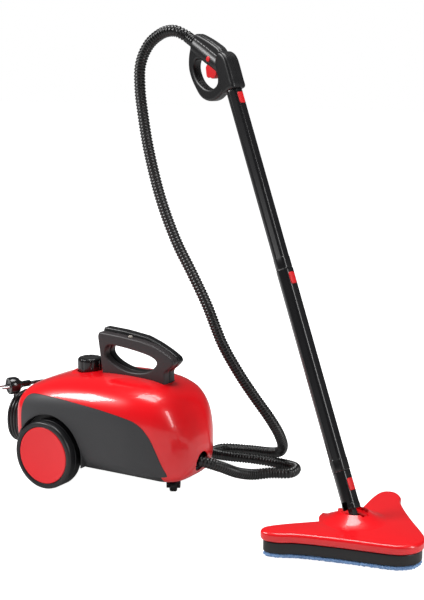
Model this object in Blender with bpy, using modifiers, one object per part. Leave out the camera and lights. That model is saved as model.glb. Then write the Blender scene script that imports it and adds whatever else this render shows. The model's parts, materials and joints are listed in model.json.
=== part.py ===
# Canister steam cleaner: wheeled boiler unit, hose, steam gun, two-piece wand and mop head.
# Metres, +Z up, the canister points along +X.  Each driving size is written once, below.
import math

import bmesh
import bpy
from mathutils import Matrix, Vector

PART = "canister_steam_cleaner"

# driving sizes of the canister
AXLE_X = -0.301            # rear axle line in the frame
AXLE_Y = 0.0426            # centre plane of the canister in the frame
BODY_LENGTH = 0.375        # rear wall to nose
BODY_WIDTH = 0.232         # widest part of the casing
BODY_HEIGHT = 0.215        # floor to top of the casing
WALL = 0.0025              # moulded wall
WHEEL_R = 0.066            # rear wheel radius
WHEEL_W = 0.036            # rear wheel width
TRACK = 0.270              # over the outer faces of the rear wheels
CASTER_R = 0.012           # front castor wheel radius
BOILER_R = 0.060           # boiler shell radius
BOILER_H = 0.118           # boiler shell height
NECK_R = 0.0145            # bore of the filler neck
CAP_R = 0.0245             # turning knob of the filler cap
HANDLE_W = 0.038           # width of the carry handle

# driving sizes of the hose, the wand and the head
HOSE_D = 0.022             # outside of the corrugated hose
LEAD_D = 0.007             # mains lead
WAND_LEAN = math.radians(24.5)
WAND_TURN = math.radians(-20)          # heading of the wand and of the head
PIVOT = Vector((0.633, -0.089, 0.050))   # knuckle pivot, from the axle line
TUBE_R = 0.0161            # lower tube, centre line to the corners of its six flats
CORNER = 23                # degrees from the middle of a flat to its corner
TUBE_TAPER = 0.0010        # the upper tube is this much smaller in radius
JOINT_LOW = 0.080          # wand joints, measured along the wand from the pivot
JOINT_MID = 0.441
JOINT_TOP = 0.776
HEAD_HALF = 0.158          # half width of the head over its rear tips
HEAD_FRONT = 0.146         # pivot to the front tip
HEAD_BACK = 0.064          # pivot back to the rear tips
PAD_T = 0.009              # thickness of the cloth pad
BASE_TOP = 0.029           # parting line of the head, above the floor
COVER_TOP = 0.046          # top of the cover at its rim

PIN_R = 0.0035             # both pins of the head joint
ROLL_AT = 0.0190           # roll pin above the pitch pin, along the wand
GAP = 0.0003               # running and parting clearance

RED = ("red_gloss", (0.80, 0.01, 0.02, 1), 0.25, 0.0)
BLACK = ("black_satin", (0.012, 0.012, 0.013, 1), 0.40, 0.0)
GREY = ("grey_panel", (0.05, 0.05, 0.055, 1), 0.50, 0.0)
BROWN = ("grey_handle", (0.045, 0.035, 0.037, 1), 0.50, 0.0)
STEEL = ("steel", (0.55, 0.55, 0.56, 1), 0.30, 1.0)
BRASS = ("brass", (0.70, 0.50, 0.22, 1), 0.35, 1.0)
RUBBER = ("rubber", (0.015, 0.015, 0.015, 1), 0.80, 0.0)
CLEAR = ("lamp_lens", (0.9, 0.85, 0.8, 1), 0.10, 0.0)
CLOTH = ("blue_cloth", (0.25, 0.45, 0.80, 1), 0.95, 0.0)

parts = bpy.data.collections.new(PART)
cutters = bpy.data.collections.new("cutters")


# ---------------------------------------------------------------- helpers
def clear_scene():
    for ob in list(bpy.data.objects):
        bpy.data.objects.remove(ob, do_unlink=True)
    bpy.context.scene.collection.children.link(parts)
    bpy.context.scene.collection.children.link(cutters)


def material(spec):
    name, colour, rough, metal = spec
    mat = bpy.data.materials.get(name) or bpy.data.materials.new(name)
    mat.use_nodes = True
    shader = mat.node_tree.nodes["Principled BSDF"]
    shader.inputs["Base Color"].default_value = colour
    shader.inputs["Roughness"].default_value = rough
    shader.inputs["Metallic"].default_value = metal
    mat.diffuse_color = colour
    return mat


def empty(name, parent, location, rotation=(0, 0, 0)):
    ob = bpy.data.objects.new(name, None)
    ob.parent = parent
    ob.location = location
    ob.rotation_euler = rotation
    ob.empty_display_size = 0.02
    parts.objects.link(ob)
    return ob


def finish(bm, name, spec, parent, location=(0, 0, 0), rotation=(0, 0, 0)):
    """A named object from a bmesh; spec None makes it a cutter."""
    bmesh.ops.remove_doubles(bm, verts=bm.verts, dist=1e-6)
    bmesh.ops.recalc_face_normals(bm, faces=bm.faces)
    mesh = bpy.data.meshes.new(name)
    bm.to_mesh(mesh)
    bm.free()
    ob = bpy.data.objects.new(name, mesh)
    ob.parent = parent
    ob.location = location
    ob.rotation_euler = rotation
    if spec is None:
        cutters.objects.link(ob)
        ob.hide_render = True
        ob.display_type = "WIRE"
    else:
        parts.objects.link(ob)
        mesh.materials.append(material(spec))
    return ob


def boolean(ob, tool, operation="DIFFERENCE"):
    mod = ob.modifiers.new(tool.name, "BOOLEAN")
    mod.solver = "EXACT"
    mod.operation = operation
    mod.object = tool
    return ob


def bevel(ob, width, segments=1, angle=40):
    mod = ob.modifiers.new("bevel", "BEVEL")
    mod.width = width
    mod.segments = segments
    mod.limit_method = "ANGLE"
    mod.angle_limit = math.radians(angle)
    return ob


def box(size, centre=(0, 0, 0)):
    bm = bmesh.new()
    bmesh.ops.create_cube(bm, size=1)
    bmesh.ops.scale(bm, vec=size, verts=bm.verts)
    bmesh.ops.translate(bm, vec=centre, verts=bm.verts)
    return bm


def turned(profile, steps=24, ring=False, axis="Z", at=(0, 0, 0)):
    """A solid of revolution from (radius, height) pairs; ring closes the profile on itself."""
    bm = bmesh.new()
    verts = [bm.verts.new((r, 0, z)) for r, z in profile]
    pairs = list(zip(verts, verts[1:] + verts[:1])) if ring else list(zip(verts, verts[1:]))
    edges = [bm.edges.new(pair) for pair in pairs]
    bmesh.ops.spin(bm, geom=verts + edges, cent=(0, 0, 0), axis=(0, 0, 1), angle=math.tau,
                   steps=steps, use_merge=True)
    bmesh.ops.remove_doubles(bm, verts=bm.verts, dist=1e-6)
    turn = {"Z": Matrix(), "X": Matrix.Rotation(math.pi / 2, 4, "Y"),
            "Y": Matrix.Rotation(math.pi / 2, 4, "X")}[axis]
    bmesh.ops.transform(bm, matrix=Matrix.Translation(at) @ turn, verts=bm.verts)
    return bm


def cylinder(radius, low, high, steps=24, axis="Z", at=(0, 0, 0)):
    return turned([(0, low), (radius, low), (radius, high), (0, high)], steps, False, axis, at)


def smooth(points, per=6, closed=True):
    """A Catmull-Rom line through hand-chosen points."""
    pts = [Vector(p) for p in points]
    count = len(pts)
    out = []
    for i in range(count if closed else count - 1):
        if closed:
            a, b, c, d = (pts[(i + k) % count] for k in (-1, 0, 1, 2))
        else:
            a, b, c, d = (pts[min(max(i + k, 0), count - 1)] for k in (-1, 0, 1, 2))
        for step in range(per):
            t = step / per
            out.append(0.5 * (2 * b + (c - a) * t + (2 * a - 5 * b + 4 * c - d) * t * t
                              + (3 * b - a - 3 * c + d) * t ** 3))
    if not closed:
        out.append(pts[-1])
    return out


def even(points, step):
    """The same line with points at an even spacing."""
    out = [points[0].copy()]
    left = step
    for a, b in zip(points, points[1:]):
        span = (b - a).length
        while span >= left and span > 0:
            a = a + (b - a) * (left / span)
            span = (b - a).length
            out.append(a.copy())
            left = step
        left -= span
    if (out[-1] - points[-1]).length < 0.4 * step:
        out.pop()
    out.append(points[-1].copy())
    return out


def grown(points, amount):
    """A closed outline moved outwards; the points run anticlockwise or clockwise."""
    area = sum(a.x * b.y - b.x * a.y for a, b in zip(points, points[1:] + points[:1]))
    out = []
    for i, p in enumerate(points):
        t = (points[(i + 1) % len(points)] - points[i - 1]).normalized()
        out.append(p + Vector((t.y, -t.x, 0)) * math.copysign(amount, area * amount))
    return out


def plate(loops, half, rim=0.0, rim_steps=1, plane="XZ"):
    """A flat plate from closed outlines; later loops are holes; rim rounds both edges."""
    curve = bpy.data.curves.new("outline", "CURVE")
    curve.dimensions = "2D"
    curve.fill_mode = "BOTH"
    curve.extrude = half - rim
    curve.bevel_depth = rim
    curve.bevel_resolution = rim_steps
    curve.offset = -rim
    for loop in loops:
        spline = curve.splines.new("POLY")
        spline.points.add(len(loop) - 1)
        for point, co in zip(spline.points, loop):
            point.co = (co[0], co[1], 0, 1)
        spline.use_cyclic_u = True
    holder = bpy.data.objects.new("outline", curve)
    mesh = bpy.data.meshes.new_from_object(holder)
    bm = bmesh.new()
    bm.from_mesh(mesh)
    bpy.data.objects.remove(holder)
    bmesh.ops.remove_doubles(bm, verts=bm.verts, dist=2e-5)
    if plane == "XZ":
        bmesh.ops.rotate(bm, cent=(0, 0, 0), matrix=Matrix.Rotation(math.pi / 2, 3, "X"),
                         verts=bm.verts)
    return bm


def rod(points, radius, ring=2):
    """A round bar along a line, with flat ends."""
    curve = bpy.data.curves.new("rod", "CURVE")
    curve.dimensions = "3D"
    curve.bevel_depth = radius
    curve.bevel_resolution = ring
    curve.use_fill_caps = True
    curve.twist_mode = "MINIMUM"
    spline = curve.splines.new("POLY")
    spline.points.add(len(points) - 1)
    for point, co in zip(spline.points, points):
        point.co = (co[0], co[1], co[2], 1)
    holder = bpy.data.objects.new("rod", curve)
    mesh = bpy.data.meshes.new_from_object(holder)
    bm = bmesh.new()
    bm.from_mesh(mesh)
    bpy.data.objects.remove(holder)
    return bm


# ---------------------------------------------------------------- canister casing
REAR_X = -0.098
# share of the length, then half width, bottom and top as shares of the driving sizes
STATIONS = ((0.000, 0.70, 0.32, 0.760), (0.012, 0.80, 0.26, 0.805), (0.050, 0.89, 0.21, 0.850),
            (0.150, 0.955, 0.175, 0.915), (0.255, 0.985, 0.16, 0.958), (0.405, 1.00, 0.15, 0.988),
            (0.560, 1.00, 0.15, 1.000), (0.710, 0.965, 0.145, 0.990), (0.800, 0.895, 0.135, 0.965),
            (0.865, 0.81, 0.125, 0.922), (0.920, 0.69, 0.135, 0.838), (0.960, 0.54, 0.175, 0.712),
            (0.987, 0.37, 0.255, 0.565), (1.000, 0.21, 0.335, 0.450))
AROUND = 28


def station_x(share):
    return REAR_X + share * BODY_LENGTH


def body_loft(grow=0.0, ends=0.0):
    """The casing as one closed skin; grow moves the walls in or out."""
    bm = bmesh.new()
    rings = []
    for share, width, low, high in STATIONS:
        half = 0.5 * BODY_WIDTH * width + grow
        z0 = BODY_HEIGHT * low - grow
        z1 = BODY_HEIGHT * high + grow
        mid = REAR_X + 0.5 * BODY_LENGTH
        x = mid + (station_x(share) - mid) * (1 + 2 * ends / BODY_LENGTH)
        ring = []
        for i in range(AROUND):
            a = math.tau * (i + 0.5) / AROUND
            c, s = math.cos(a), math.sin(a)
            power = 0.62 if s > 0 else 0.50
            y = half * math.copysign(abs(c) ** power, c)
            z = 0.5 * (z0 + z1) + 0.5 * (z1 - z0) * math.copysign(abs(s) ** 0.62, s)
            ring.append(bm.verts.new((x, y, z)))
        rings.append(ring)
    for a, b in zip(rings, rings[1:]):
        for i in range(AROUND):
            j = (i + 1) % AROUND
            bm.faces.new((a[i], a[j], b[j], b[i]))
    bm.faces.new(rings[0])
    bm.faces.new(rings[-1])
    bmesh.ops.triangulate(bm, faces=bm.faces)
    return bm


def panel_outline(grow):
    """The swoosh of the dark side panel, seen from the side."""
    line = [(-0.073, 0.060), (-0.074, 0.110), (-0.072, 0.150), (-0.062, 0.168), (-0.040, 0.1745),
            (0.010, 0.1755), (0.060, 0.173), (0.120, 0.168), (0.178, 0.158), (0.203, 0.146),
            (0.219, 0.126), (0.230, 0.100), (0.239, 0.072), (0.244, 0.052), (0.236, 0.0475),
            (0.180, 0.048), (0.120, 0.048), (0.060, 0.048), (-0.060, 0.048)]
    return grown(smooth([(x, z, 0) for x, z in line], 2), grow)


def casing_cutters(canister):
    tools = {}
    tools["hollow"] = finish(body_loft(-WALL, -WALL), "casing_hollow", None, canister)
    for side, name in ((-1, "right"), (1, "left")):
        prism = plate([panel_outline(GAP)], 0.050)
        bmesh.ops.translate(prism, vec=(0, side * 0.118, 0), verts=prism.verts)
        tools["panel_" + name] = finish(prism, "panel_opening_" + name, None, canister)
    tools["base"] = finish(box((0.42, 0.30, 0.060), (0.024, 0, 0.0205)), "base_region", None,
                           canister)
    foot = plate([grown(rounded(handle_outline()), GAP)], HANDLE_W / 2 + GAP)
    tools["handle"] = finish(foot, "handle_slot", None, canister)
    tools["outlet"] = finish(cylinder(0.0195, NOSE - 0.077, NOSE + 0.053, 28, "X", (0, 0, OUTLET_Z)),
                             "outlet_hole", None, canister)
    tools["filler"] = finish(cylinder(CAP_R + 0.0010, 0.192, 0.25, 32, "Z", (CAP_X, 0, 0)),
                             "filler_hole", None, canister)
    tools["switch"] = finish(box((0.05, 0.0302, 0.0222), (REAR_X, -0.052, SWITCH_Z)),
                             "switch_hole", None, canister)
    tools["gland"] = finish(cylinder(0.0072, -0.150, -0.060, 20, "X", (0, GLAND_Y, GLAND_Z)),
                            "gland_hole", None, canister)
    return tools


NOSE = REAR_X + BODY_LENGTH
OUTLET_Z = 0.064
CAP_X = 0.017
CAP_Z = 0.209
SWITCH_Z = 0.128
GLAND_Y, GLAND_Z = 0.067, 0.092


def top_shell(canister, tools):
    shell = finish(body_loft(), "top_shell", RED, canister)
    boolean(shell, tools["hollow"])
    boss = turned([(0.0452, 0.195), (0.0405, 0.2012), (0.0345, 0.2068), (0.0310, 0.2085),
                   (0.0200, 0.2085), (0.0200, 0.190), (0.0440, 0.190)], 36, True)
    bmesh.ops.translate(boss, vec=(CAP_X, 0, 0), verts=boss.verts)
    boolean(shell, finish(boss, "cap_boss", None, canister), "UNION")
    for key in ("panel_right", "panel_left", "base", "handle", "outlet", "filler", "switch",
                "gland"):
        boolean(shell, tools[key])
    return shell


def wheel_cup(canister, side):
    """The dish in the side panel that the rear wheel turns in."""
    face = 0.5 * TRACK - WHEEL_W - 0.004
    outer = WHEEL_R + 0.0125
    ring = turned([(0, face - WALL), (outer, face - WALL), (outer, 0.1145),
                   (outer - WALL, 0.1145), (outer - WALL, face), (0, face)], 40)
    bmesh.ops.rotate(ring, cent=(0, 0, 0), verts=ring.verts,
                     matrix=Matrix.Rotation(side * -math.pi / 2, 3, "X"))
    bmesh.ops.translate(ring, vec=(0, 0, WHEEL_R), verts=ring.verts)
    return ring


def side_panel(canister, side, name):
    """Dark side panel with the wheel dish moulded in."""
    face = 0.5 * TRACK - WHEEL_W - 0.004
    panel = finish(body_loft(0.0012, 0.0), "side_panel_" + name, GREY, canister)
    inner = finish(body_loft(0.0012 - WALL, -WALL), "panel_hollow_" + name, None, canister)
    well = cylinder(WHEEL_R + 0.0105, face - 0.001, 0.150, 40, "Z")
    bmesh.ops.rotate(well, cent=(0, 0, 0), verts=well.verts,
                     matrix=Matrix.Rotation(side * -math.pi / 2, 3, "X"))
    bmesh.ops.translate(well, vec=(0, 0, WHEEL_R), verts=well.verts)
    prism = plate([panel_outline(0)], 0.0475)
    bmesh.ops.translate(prism, vec=(0, side * 0.118, 0), verts=prism.verts)
    hole = cylinder(0.0060 + GAP, face - 0.02, face + 0.02, 20)
    bmesh.ops.rotate(hole, cent=(0, 0, 0), verts=hole.verts,
                     matrix=Matrix.Rotation(side * -math.pi / 2, 3, "X"))
    bmesh.ops.translate(hole, vec=(0, 0, WHEEL_R), verts=hole.verts)
    boolean(panel, inner)
    boolean(panel, finish(well, "wheel_well_" + name, None, canister))
    boolean(panel, finish(wheel_cup(canister, side), "wheel_dish_" + name, None, canister), "UNION")
    boolean(panel, finish(prism, "panel_shape_" + name, None, canister), "INTERSECT")
    boolean(panel, finish(hole, "axle_hole_" + name, None, canister))
    return panel


def mirrored(source, name, spec, canister):
    """The left-hand twin of a finished right-hand piece."""
    bpy.context.view_layer.update()
    graph = bpy.context.evaluated_depsgraph_get()
    mesh = bpy.data.meshes.new_from_object(source.evaluated_get(graph))
    bm = bmesh.new()
    bm.from_mesh(mesh)
    bpy.data.meshes.remove(mesh)
    bmesh.ops.scale(bm, vec=(1, -1, 1), verts=bm.verts)
    return finish(bm, name, spec, canister)


def base_tray(canister, tools):
    """Floor of the canister with the castor socket."""
    tray = finish(body_loft(), "base_tray", BLACK, canister)
    boolean(tray, tools["hollow"])
    slab = box((0.42 - 2 * GAP, 0.30, 0.060), (0.024, 0, 0.0205 - GAP))
    boolean(tray, finish(slab, "base_shape", None, canister), "INTERSECT")
    socket = cylinder(0.0125, 0.030, 0.050, 24, "Z", (CASTER_X, 0, 0))
    boolean(tray, finish(socket, "castor_boss", None, canister), "UNION")
    bore = cylinder(0.0040 + GAP, 0.020, 0.046, 16, "Z", (CASTER_X, 0, 0))
    boolean(tray, finish(bore, "castor_bore", None, canister))
    for side, name in ((-1, "right"), (1, "left")):
        face = 0.5 * TRACK - WHEEL_W - 0.004 - WALL - GAP
        well = box((2 * (WHEEL_R + 0.013), 0.06, 0.09), (0, side * (face + 0.03), 0.06))
        boolean(tray, finish(well, "tray_relief_" + name, None, canister))
    for side, name in ((-1, "right"), (1, "left")):
        pad = finish(panel_band(side), "tray_panel_gap_" + name, None, canister)
        boolean(tray, pad)
    return tray


def panel_band(side):
    prism = plate([panel_outline(GAP)], 0.050)
    bmesh.ops.translate(prism, vec=(0, side * 0.118, 0), verts=prism.verts)
    return prism


# ---------------------------------------------------------------- carry handle
CASTER_X = 0.213


def handle_outline(tall=0.0):
    """Side view of the carry handle, foot to grip."""
    line = [(0.061, 0.199), (0.058, 0.222), (0.053, 0.255), (0.049, 0.284 + tall),
            (0.052, 0.2925 + tall), (0.100, 0.2900 + tall), (0.150, 0.2850 + tall * 0.8),
            (0.178, 0.2790 + tall * 0.2), (0.204, 0.2680), (0.221, 0.2575), (0.2245, 0.2500),
            (0.214, 0.2380), (0.2030, 0.2300), (0.2035, 0.205), (0.2040, 0.184), (0.150, 0.186),
            (0.070, 0.190)]
    return [Vector((x, z, 0)) for x, z in line]


def handle_hole():
    line = [(0.066, 0.252), (0.071, 0.2655), (0.085, 0.2695), (0.125, 0.2660), (0.165, 0.2590),
            (0.183, 0.2510), (0.184, 0.2420), (0.171, 0.2300), (0.150, 0.2230), (0.120, 0.2225),
            (0.092, 0.2300), (0.073, 0.2410)]
    return smooth([(x, z, 0) for x, z in line], 2)


def rounded(points, radius=0.003):
    """Corners of a closed outline cut back a little on both sides."""
    out = []
    count = len(points)
    for i, p in enumerate(points):
        for q in (points[i - 1], points[(i + 1) % count]):
            step = min(radius, 0.3 * (q - p).length)
            out.append(p + (q - p).normalized() * step)
    return out


def carry_handle(canister):
    """Two moulded halves that meet on the centre plane; the far one stands taller."""
    for side, name, spec, tall in ((-1, "right", BROWN, 0.0), (1, "left", BLACK, 0.0065)):
        half = 0.5 * (0.5 * HANDLE_W - GAP / 2)
        shape = plate([rounded(handle_outline(tall)), handle_hole()], half, 0.0022, 1)
        bmesh.ops.translate(shape, verts=shape.verts, vec=(0, side * (half + GAP / 2), 0))
        ob = finish(shape, "handle_" + name, spec, canister)
        if side < 0:
            seat = cylinder(0.0040 + GAP, 0.284, 0.300, 16, "Z", (0.120, -0.0085, 0))
            boolean(ob, finish(seat, "lamp_seat", None, canister))
    lens = turned([(0, 0.28435), (0.0040, 0.28435), (0.0040, 0.2896), (0.0026, 0.2908),
                   (0, 0.2911)], 16, False, "Z", (0.120, -0.0085, 0))
    finish(lens, "lamp_lens", CLEAR, canister)


# ---------------------------------------------------------------- filler cap and boiler
BOILER_Z = 0.060


def filler_cap(canister):
    """Screw plug that lifts as the knob is turned."""
    cap = empty("cap_axis", canister, (CAP_X, 0, CAP_Z))
    plug = turned([(0, -0.0245), (NECK_R - 0.004, -0.0245), (NECK_R - 0.004, -0.0170),
                   (NECK_R - GAP, -0.0162), (NECK_R - GAP, -0.0055), (0.0175, -0.0048),
                   (0.0175, -0.0012), (0, -0.0012)], 28)
    finish(plug, "cap_plug", BLACK, cap)
    seal = turned([(NECK_R - 0.0037, -0.0240), (NECK_R - 0.0007, -0.0230),
                   (NECK_R - 0.0007, -0.0185), (NECK_R - 0.0037, -0.0175)], 24, True)
    finish(seal, "cap_seal", RUBBER, cap)
    knob = turned([(0, -0.0008), (CAP_R - 0.0010, -0.0008), (CAP_R, 0.0010), (CAP_R, 0.0215),
                   (CAP_R - 0.0012, 0.0240), (CAP_R - 0.0035, 0.0255), (0, 0.0262)], 32)
    finish(knob, "cap_knob", BLACK, cap)


def boiler(canister):
    """Pressure vessel in two drawn halves with its heater, thermostat and fuse."""
    mid = BOILER_Z + 0.5 * BOILER_H
    r = BOILER_R
    wall = 0.0015
    top = [(0.0110, BOILER_Z + BOILER_H), (0.60 * r, BOILER_Z + BOILER_H - 0.001),
           (0.88 * r, BOILER_Z + BOILER_H - 0.008), (r, BOILER_Z + BOILER_H - 0.026),
           (r, mid + 0.0025), (r + 0.006, mid + 0.0022), (r + 0.006, mid + GAP / 2),
           (r - wall, mid + GAP / 2), (r - wall, BOILER_Z + BOILER_H - 0.027),
           (0.86 * r, BOILER_Z + BOILER_H - 0.0100), (0.59 * r, BOILER_Z + BOILER_H - 0.0026),
           (0.0110, BOILER_Z + BOILER_H - wall)]
    finish(turned(top, 28, True, "Z", (CAP_X, 0, 0)), "boiler_upper", STEEL, canister)
    low = [(0, BOILER_Z), (0.60 * r, BOILER_Z + 0.001), (0.88 * r, BOILER_Z + 0.008),
           (r, BOILER_Z + 0.026), (r, mid - 0.0025), (r + 0.006, mid - 0.0022),
           (r + 0.006, mid - GAP / 2), (r - wall, mid - GAP / 2), (r - wall, BOILER_Z + 0.027),
           (0.86 * r, BOILER_Z + 0.0100), (0.59 * r, BOILER_Z + 0.0026), (0, BOILER_Z + wall)]
    finish(turned(low, 28, False, "Z", (CAP_X, 0, 0)), "boiler_lower", STEEL, canister)
    arc = [Vector((CAP_X + 0.040 * math.cos(a), 0.040 * math.sin(a), BOILER_Z - 0.0044))
           for a in [math.radians(30 + 12.5 * i) for i in range(25)]]
    finish(rod(arc, 0.0036), "heating_element", STEEL, canister)
    bottom = BOILER_Z - GAP
    stat = turned([(0, bottom - 0.012), (0.0075, bottom - 0.012), (0.0075, bottom - 0.004),
                   (0.0110, bottom - 0.004), (0.0110, bottom), (0, bottom)], 20, False, "Z",
                  (CAP_X + 0.004, 0.0, 0))
    finish(stat, "control_thermostat", BRASS, canister)
    fuse = cylinder(0.0022, -0.009, 0.009, 12, "Y", (CAP_X - 0.022, 0, bottom - 0.0024))
    finish(fuse, "thermal_fuse", STEEL, canister)
    neck_top = CAP_Z - 0.0056
    neck_low = BOILER_Z + BOILER_H + GAP
    neck = turned([(NECK_R, neck_top), (0.0190, neck_top), (0.0190, neck_low + 0.006),
                   (0.0240, neck_low + 0.004), (0.0240, neck_low), (0.0100, neck_low),
                   (0.0100, neck_low + 0.003), (NECK_R, neck_low + 0.004)], 28, True, "Z",
                  (CAP_X, 0, 0))
    finish(neck, "filler_neck", BRASS, canister)


def steam_circuit(canister):
    """Pressure switch, solenoid valve and the two copper pipes."""
    top = BOILER_Z + BOILER_H
    switch = turned([(0, top - 0.0036), (0.0050, top - 0.0036), (0.0050, top + 0.002),
                     (0.0085, top + 0.002), (0.0085, top + 0.010), (0, top + 0.010)], 20,
                    False, "Z", (CAP_X - 0.043, 0, 0))
    finish(switch, "pressure_switch", BLACK, canister)
    hole = cylinder(0.0050 + GAP, top - 0.020, top + 0.02, 20, "Z", (CAP_X - 0.043, 0, 0))
    tap = cylinder(0.0030 + GAP, top - 0.020, top + 0.02, 16, "Z", (CAP_X + 0.043, 0, 0))
    upper = bpy.data.objects["boiler_upper"]
    boolean(upper, finish(hole, "pressure_tap", None, canister))
    boolean(upper, finish(tap, "steam_tap", None, canister))
    valve = finish(box((0.034, 0.030, 0.036), (0.150, 0, 0.128)), "solenoid_valve", BLACK,
                   canister)
    bevel(valve, 0.003, 2)
    start = CAP_X + 0.043
    pipe = smooth([(start, 0, top - 0.002), (start + 0.003, 0, top + 0.0035),
                   (start + 0.014, 0, top + 0.0045), (0.100, 0, 0.176), (0.138, 0, 0.166),
                   (0.1495, 0, 0.154), (0.150, 0, 0.1467)], 5, False)
    pipe = [Vector((start, 0, top - 0.012))] + even(pipe, 0.004)
    finish(rod(pipe, 0.0028), "steam_pipe_boiler", BRASS, canister)
    out = smooth([(0.150, 0, 0.1097), (0.152, 0, 0.085), (0.172, 0, 0.0665), (0.205, 0, OUTLET_Z),
                  (NOSE - 0.0477, 0, OUTLET_Z)], 5, False)
    finish(rod(even(out, 0.007), 0.0028), "steam_pipe_outlet", BRASS, canister)
    block = finish(box((0.020, 0.034, 0.014), (-0.062, 0.030, 0.075)), "terminal_block", CLEAR,
                   canister)
    bevel(block, 0.0015)


def nose_socket(canister):
    """Swivel collar the hose comes out of."""
    profile = [(0.0045, -0.0474), (0.0150, -0.0474), (0.0150, -0.0380), (0.0190, -0.0365),
               (0.0190, -0.0140), (0.0175, -0.0110), (0.0125, -0.0110), (0.0125, -0.0300),
               (0.0045, -0.0340)]
    ring = turned([(radius, NOSE + along) for radius, along in profile], 28, True)
    bmesh.ops.rotate(ring, cent=(0, 0, 0), verts=ring.verts,
                     matrix=Matrix.Rotation(math.pi / 2, 3, "Y"))
    bmesh.ops.translate(ring, vec=(0, 0, OUTLET_Z), verts=ring.verts)
    finish(ring, "hose_socket", BLACK, canister)


# ---------------------------------------------------------------- rear fittings
def rear_fittings(canister):
    """Switch, cord gland and the hook that carries the wound lead."""
    x = REAR_X
    bezel = finish(box((0.0120, 0.0296, 0.0216), (x + 0.0035, -0.052, SWITCH_Z)), "switch_bezel",
                   BLACK, canister)
    boolean(bezel, finish(box((0.03, 0.0226, 0.0164), (x - 0.0070, -0.052, SWITCH_Z)),
                          "bezel_hole", None, canister))
    axis = empty("switch_axis", canister, (x + 0.0010, -0.052, SWITCH_Z))
    rocker = plate([[(-0.0047, -0.0066), (0.0048, -0.0055), (0.0048, 0.0055), (-0.0025, 0.0066),
                     (-0.0040, 0.0)]], 0.0105)
    finish(rocker, "rocker_switch", RED, axis)
    gland = turned([(LEAD_D / 2 + GAP, 0.014), (0.0069, 0.014), (0.0069, 0.0040), (0.0100, 0.0035),
                    (0.0100, -0.0020), (0.0075, -0.0050), (0.0052, -0.030),
                    (LEAD_D / 2 + GAP, -0.030)], 20, True)
    bmesh.ops.rotate(gland, cent=(0, 0, 0), verts=gland.verts,
                     matrix=Matrix.Rotation(math.pi / 2, 3, "Y"))
    finish(gland, "cord_gland", BLACK, canister, (x - 0.0042, GLAND_Y, GLAND_Z))
    arm = [(x - GAP, 0.128), (x - GAP, 0.092), (x - 0.014, 0.100), (x - 0.064, 0.1025),
           (x - 0.071, 0.108), (x - 0.073, 0.136), (x - 0.067, 0.138), (x - 0.0622, 0.1155),
           (x - 0.016, 0.1145), (x - 0.007, 0.128)]
    hook = plate([rounded([Vector((a, b, 0)) for a, b in arm], 0.002)], 0.013, 0.0012)
    finish(hook, "cord_hook", BLACK, canister)


# ---------------------------------------------------------------- wheels
def wheels(canister):
    """Rear wheels on stub axles, each with its pressed-in disc."""
    for side, name in ((-1, "right"), (1, "left")):
        turn = (side * -math.pi / 2, 0, 0)
        hub = empty("wheel_axis_" + name, canister, (0, 0, WHEEL_R))
        inner = 0.5 * TRACK - WHEEL_W
        outer = 0.5 * TRACK
        disc_r = 0.0555
        rim = [(0.0052, inner), (0.020, inner), (0.020, inner + 0.006), (WHEEL_R - 0.008, inner
               + 0.006), (WHEEL_R - 0.006, inner), (WHEEL_R - 0.0015, inner),
               (WHEEL_R, inner + 0.002), (WHEEL_R, outer - 0.004), (WHEEL_R - 0.002, outer),
               (disc_r + GAP, outer), (disc_r + GAP, outer - 0.0055), (0.0052, outer - 0.0055)]
        finish(turned(rim, 36, True), "wheel_" + name, BLACK, hub, (0, 0, 0), turn)
        disc = [(0, outer - 0.0052), (disc_r, outer - 0.0052), (disc_r, outer - 0.0010),
                (disc_r - 0.0015, outer - 0.0001), (0, outer - 0.0001)]
        finish(turned(disc, 36), "wheel_disc_" + name, RED, hub, (0, 0, 0), turn)
        stub = [(0, inner - 0.030), (0.0085, inner - 0.030), (0.0085, inner - 0.0068),
                (0.0060, inner - 0.0068), (0.0060, inner - 0.0006), (0.0049, inner - 0.0006),
                (0.0049, outer - 0.0058), (0, outer - 0.0058)]
        finish(turned(stub, 20), "stub_axle_" + name, STEEL, canister, (0, 0, WHEEL_R), turn)


def castor(canister):
    """Swivelling front castor."""
    swivel = empty("castor_swivel", canister, (CASTER_X, 0, 0), (0, 0, math.radians(-63)))
    trail = 0.019
    fork = finish(box((0.034, 0.026, 0.0096), (0.009, 0, 0.0214)), "castor_fork", BLACK, swivel)
    bevel(fork, 0.002)
    stem = cylinder(0.0040, 0.024, 0.045, 16)
    boolean(fork, finish(stem, "castor_stem", None, swivel), "UNION")
    cheeks = plate([smooth([(trail - 0.009, 0.0205, 0), (trail - 0.007, 0.010, 0),
                            (trail, 0.0070, 0), (trail + 0.006, 0.010, 0),
                            (trail + 0.0065, 0.0205, 0)], 3)], 0.0129)
    boolean(fork, finish(cheeks, "castor_cheeks", None, swivel), "UNION")
    well = box((0.06, 0.0150, 0.0330), (trail, 0, 0.0085))
    boolean(fork, finish(well, "castor_well", None, swivel))
    bore = cylinder(0.0025 + GAP, -0.02, 0.02, 14, "Y", (trail, 0, CASTER_R))
    boolean(fork, finish(bore, "castor_pin_bore", None, swivel))
    axis = empty("castor_axis", swivel, (trail, 0, CASTER_R))
    wheel = turned([(0.0025 + GAP, -0.0068), (CASTER_R - 0.002, -0.0068), (CASTER_R, -0.0048),
                    (CASTER_R, 0.0048), (CASTER_R - 0.002, 0.0068), (0.0025 + GAP, 0.0068)],
                   28, True)
    finish(wheel, "castor_wheel", BLACK, axis, (0, 0, 0), (math.pi / 2, 0, 0))
    pin = cylinder(0.0025, -0.0127, 0.0127, 14)
    finish(pin, "castor_pin", STEEL, swivel, (trail, 0, CASTER_R), (math.pi / 2, 0, 0))


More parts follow.
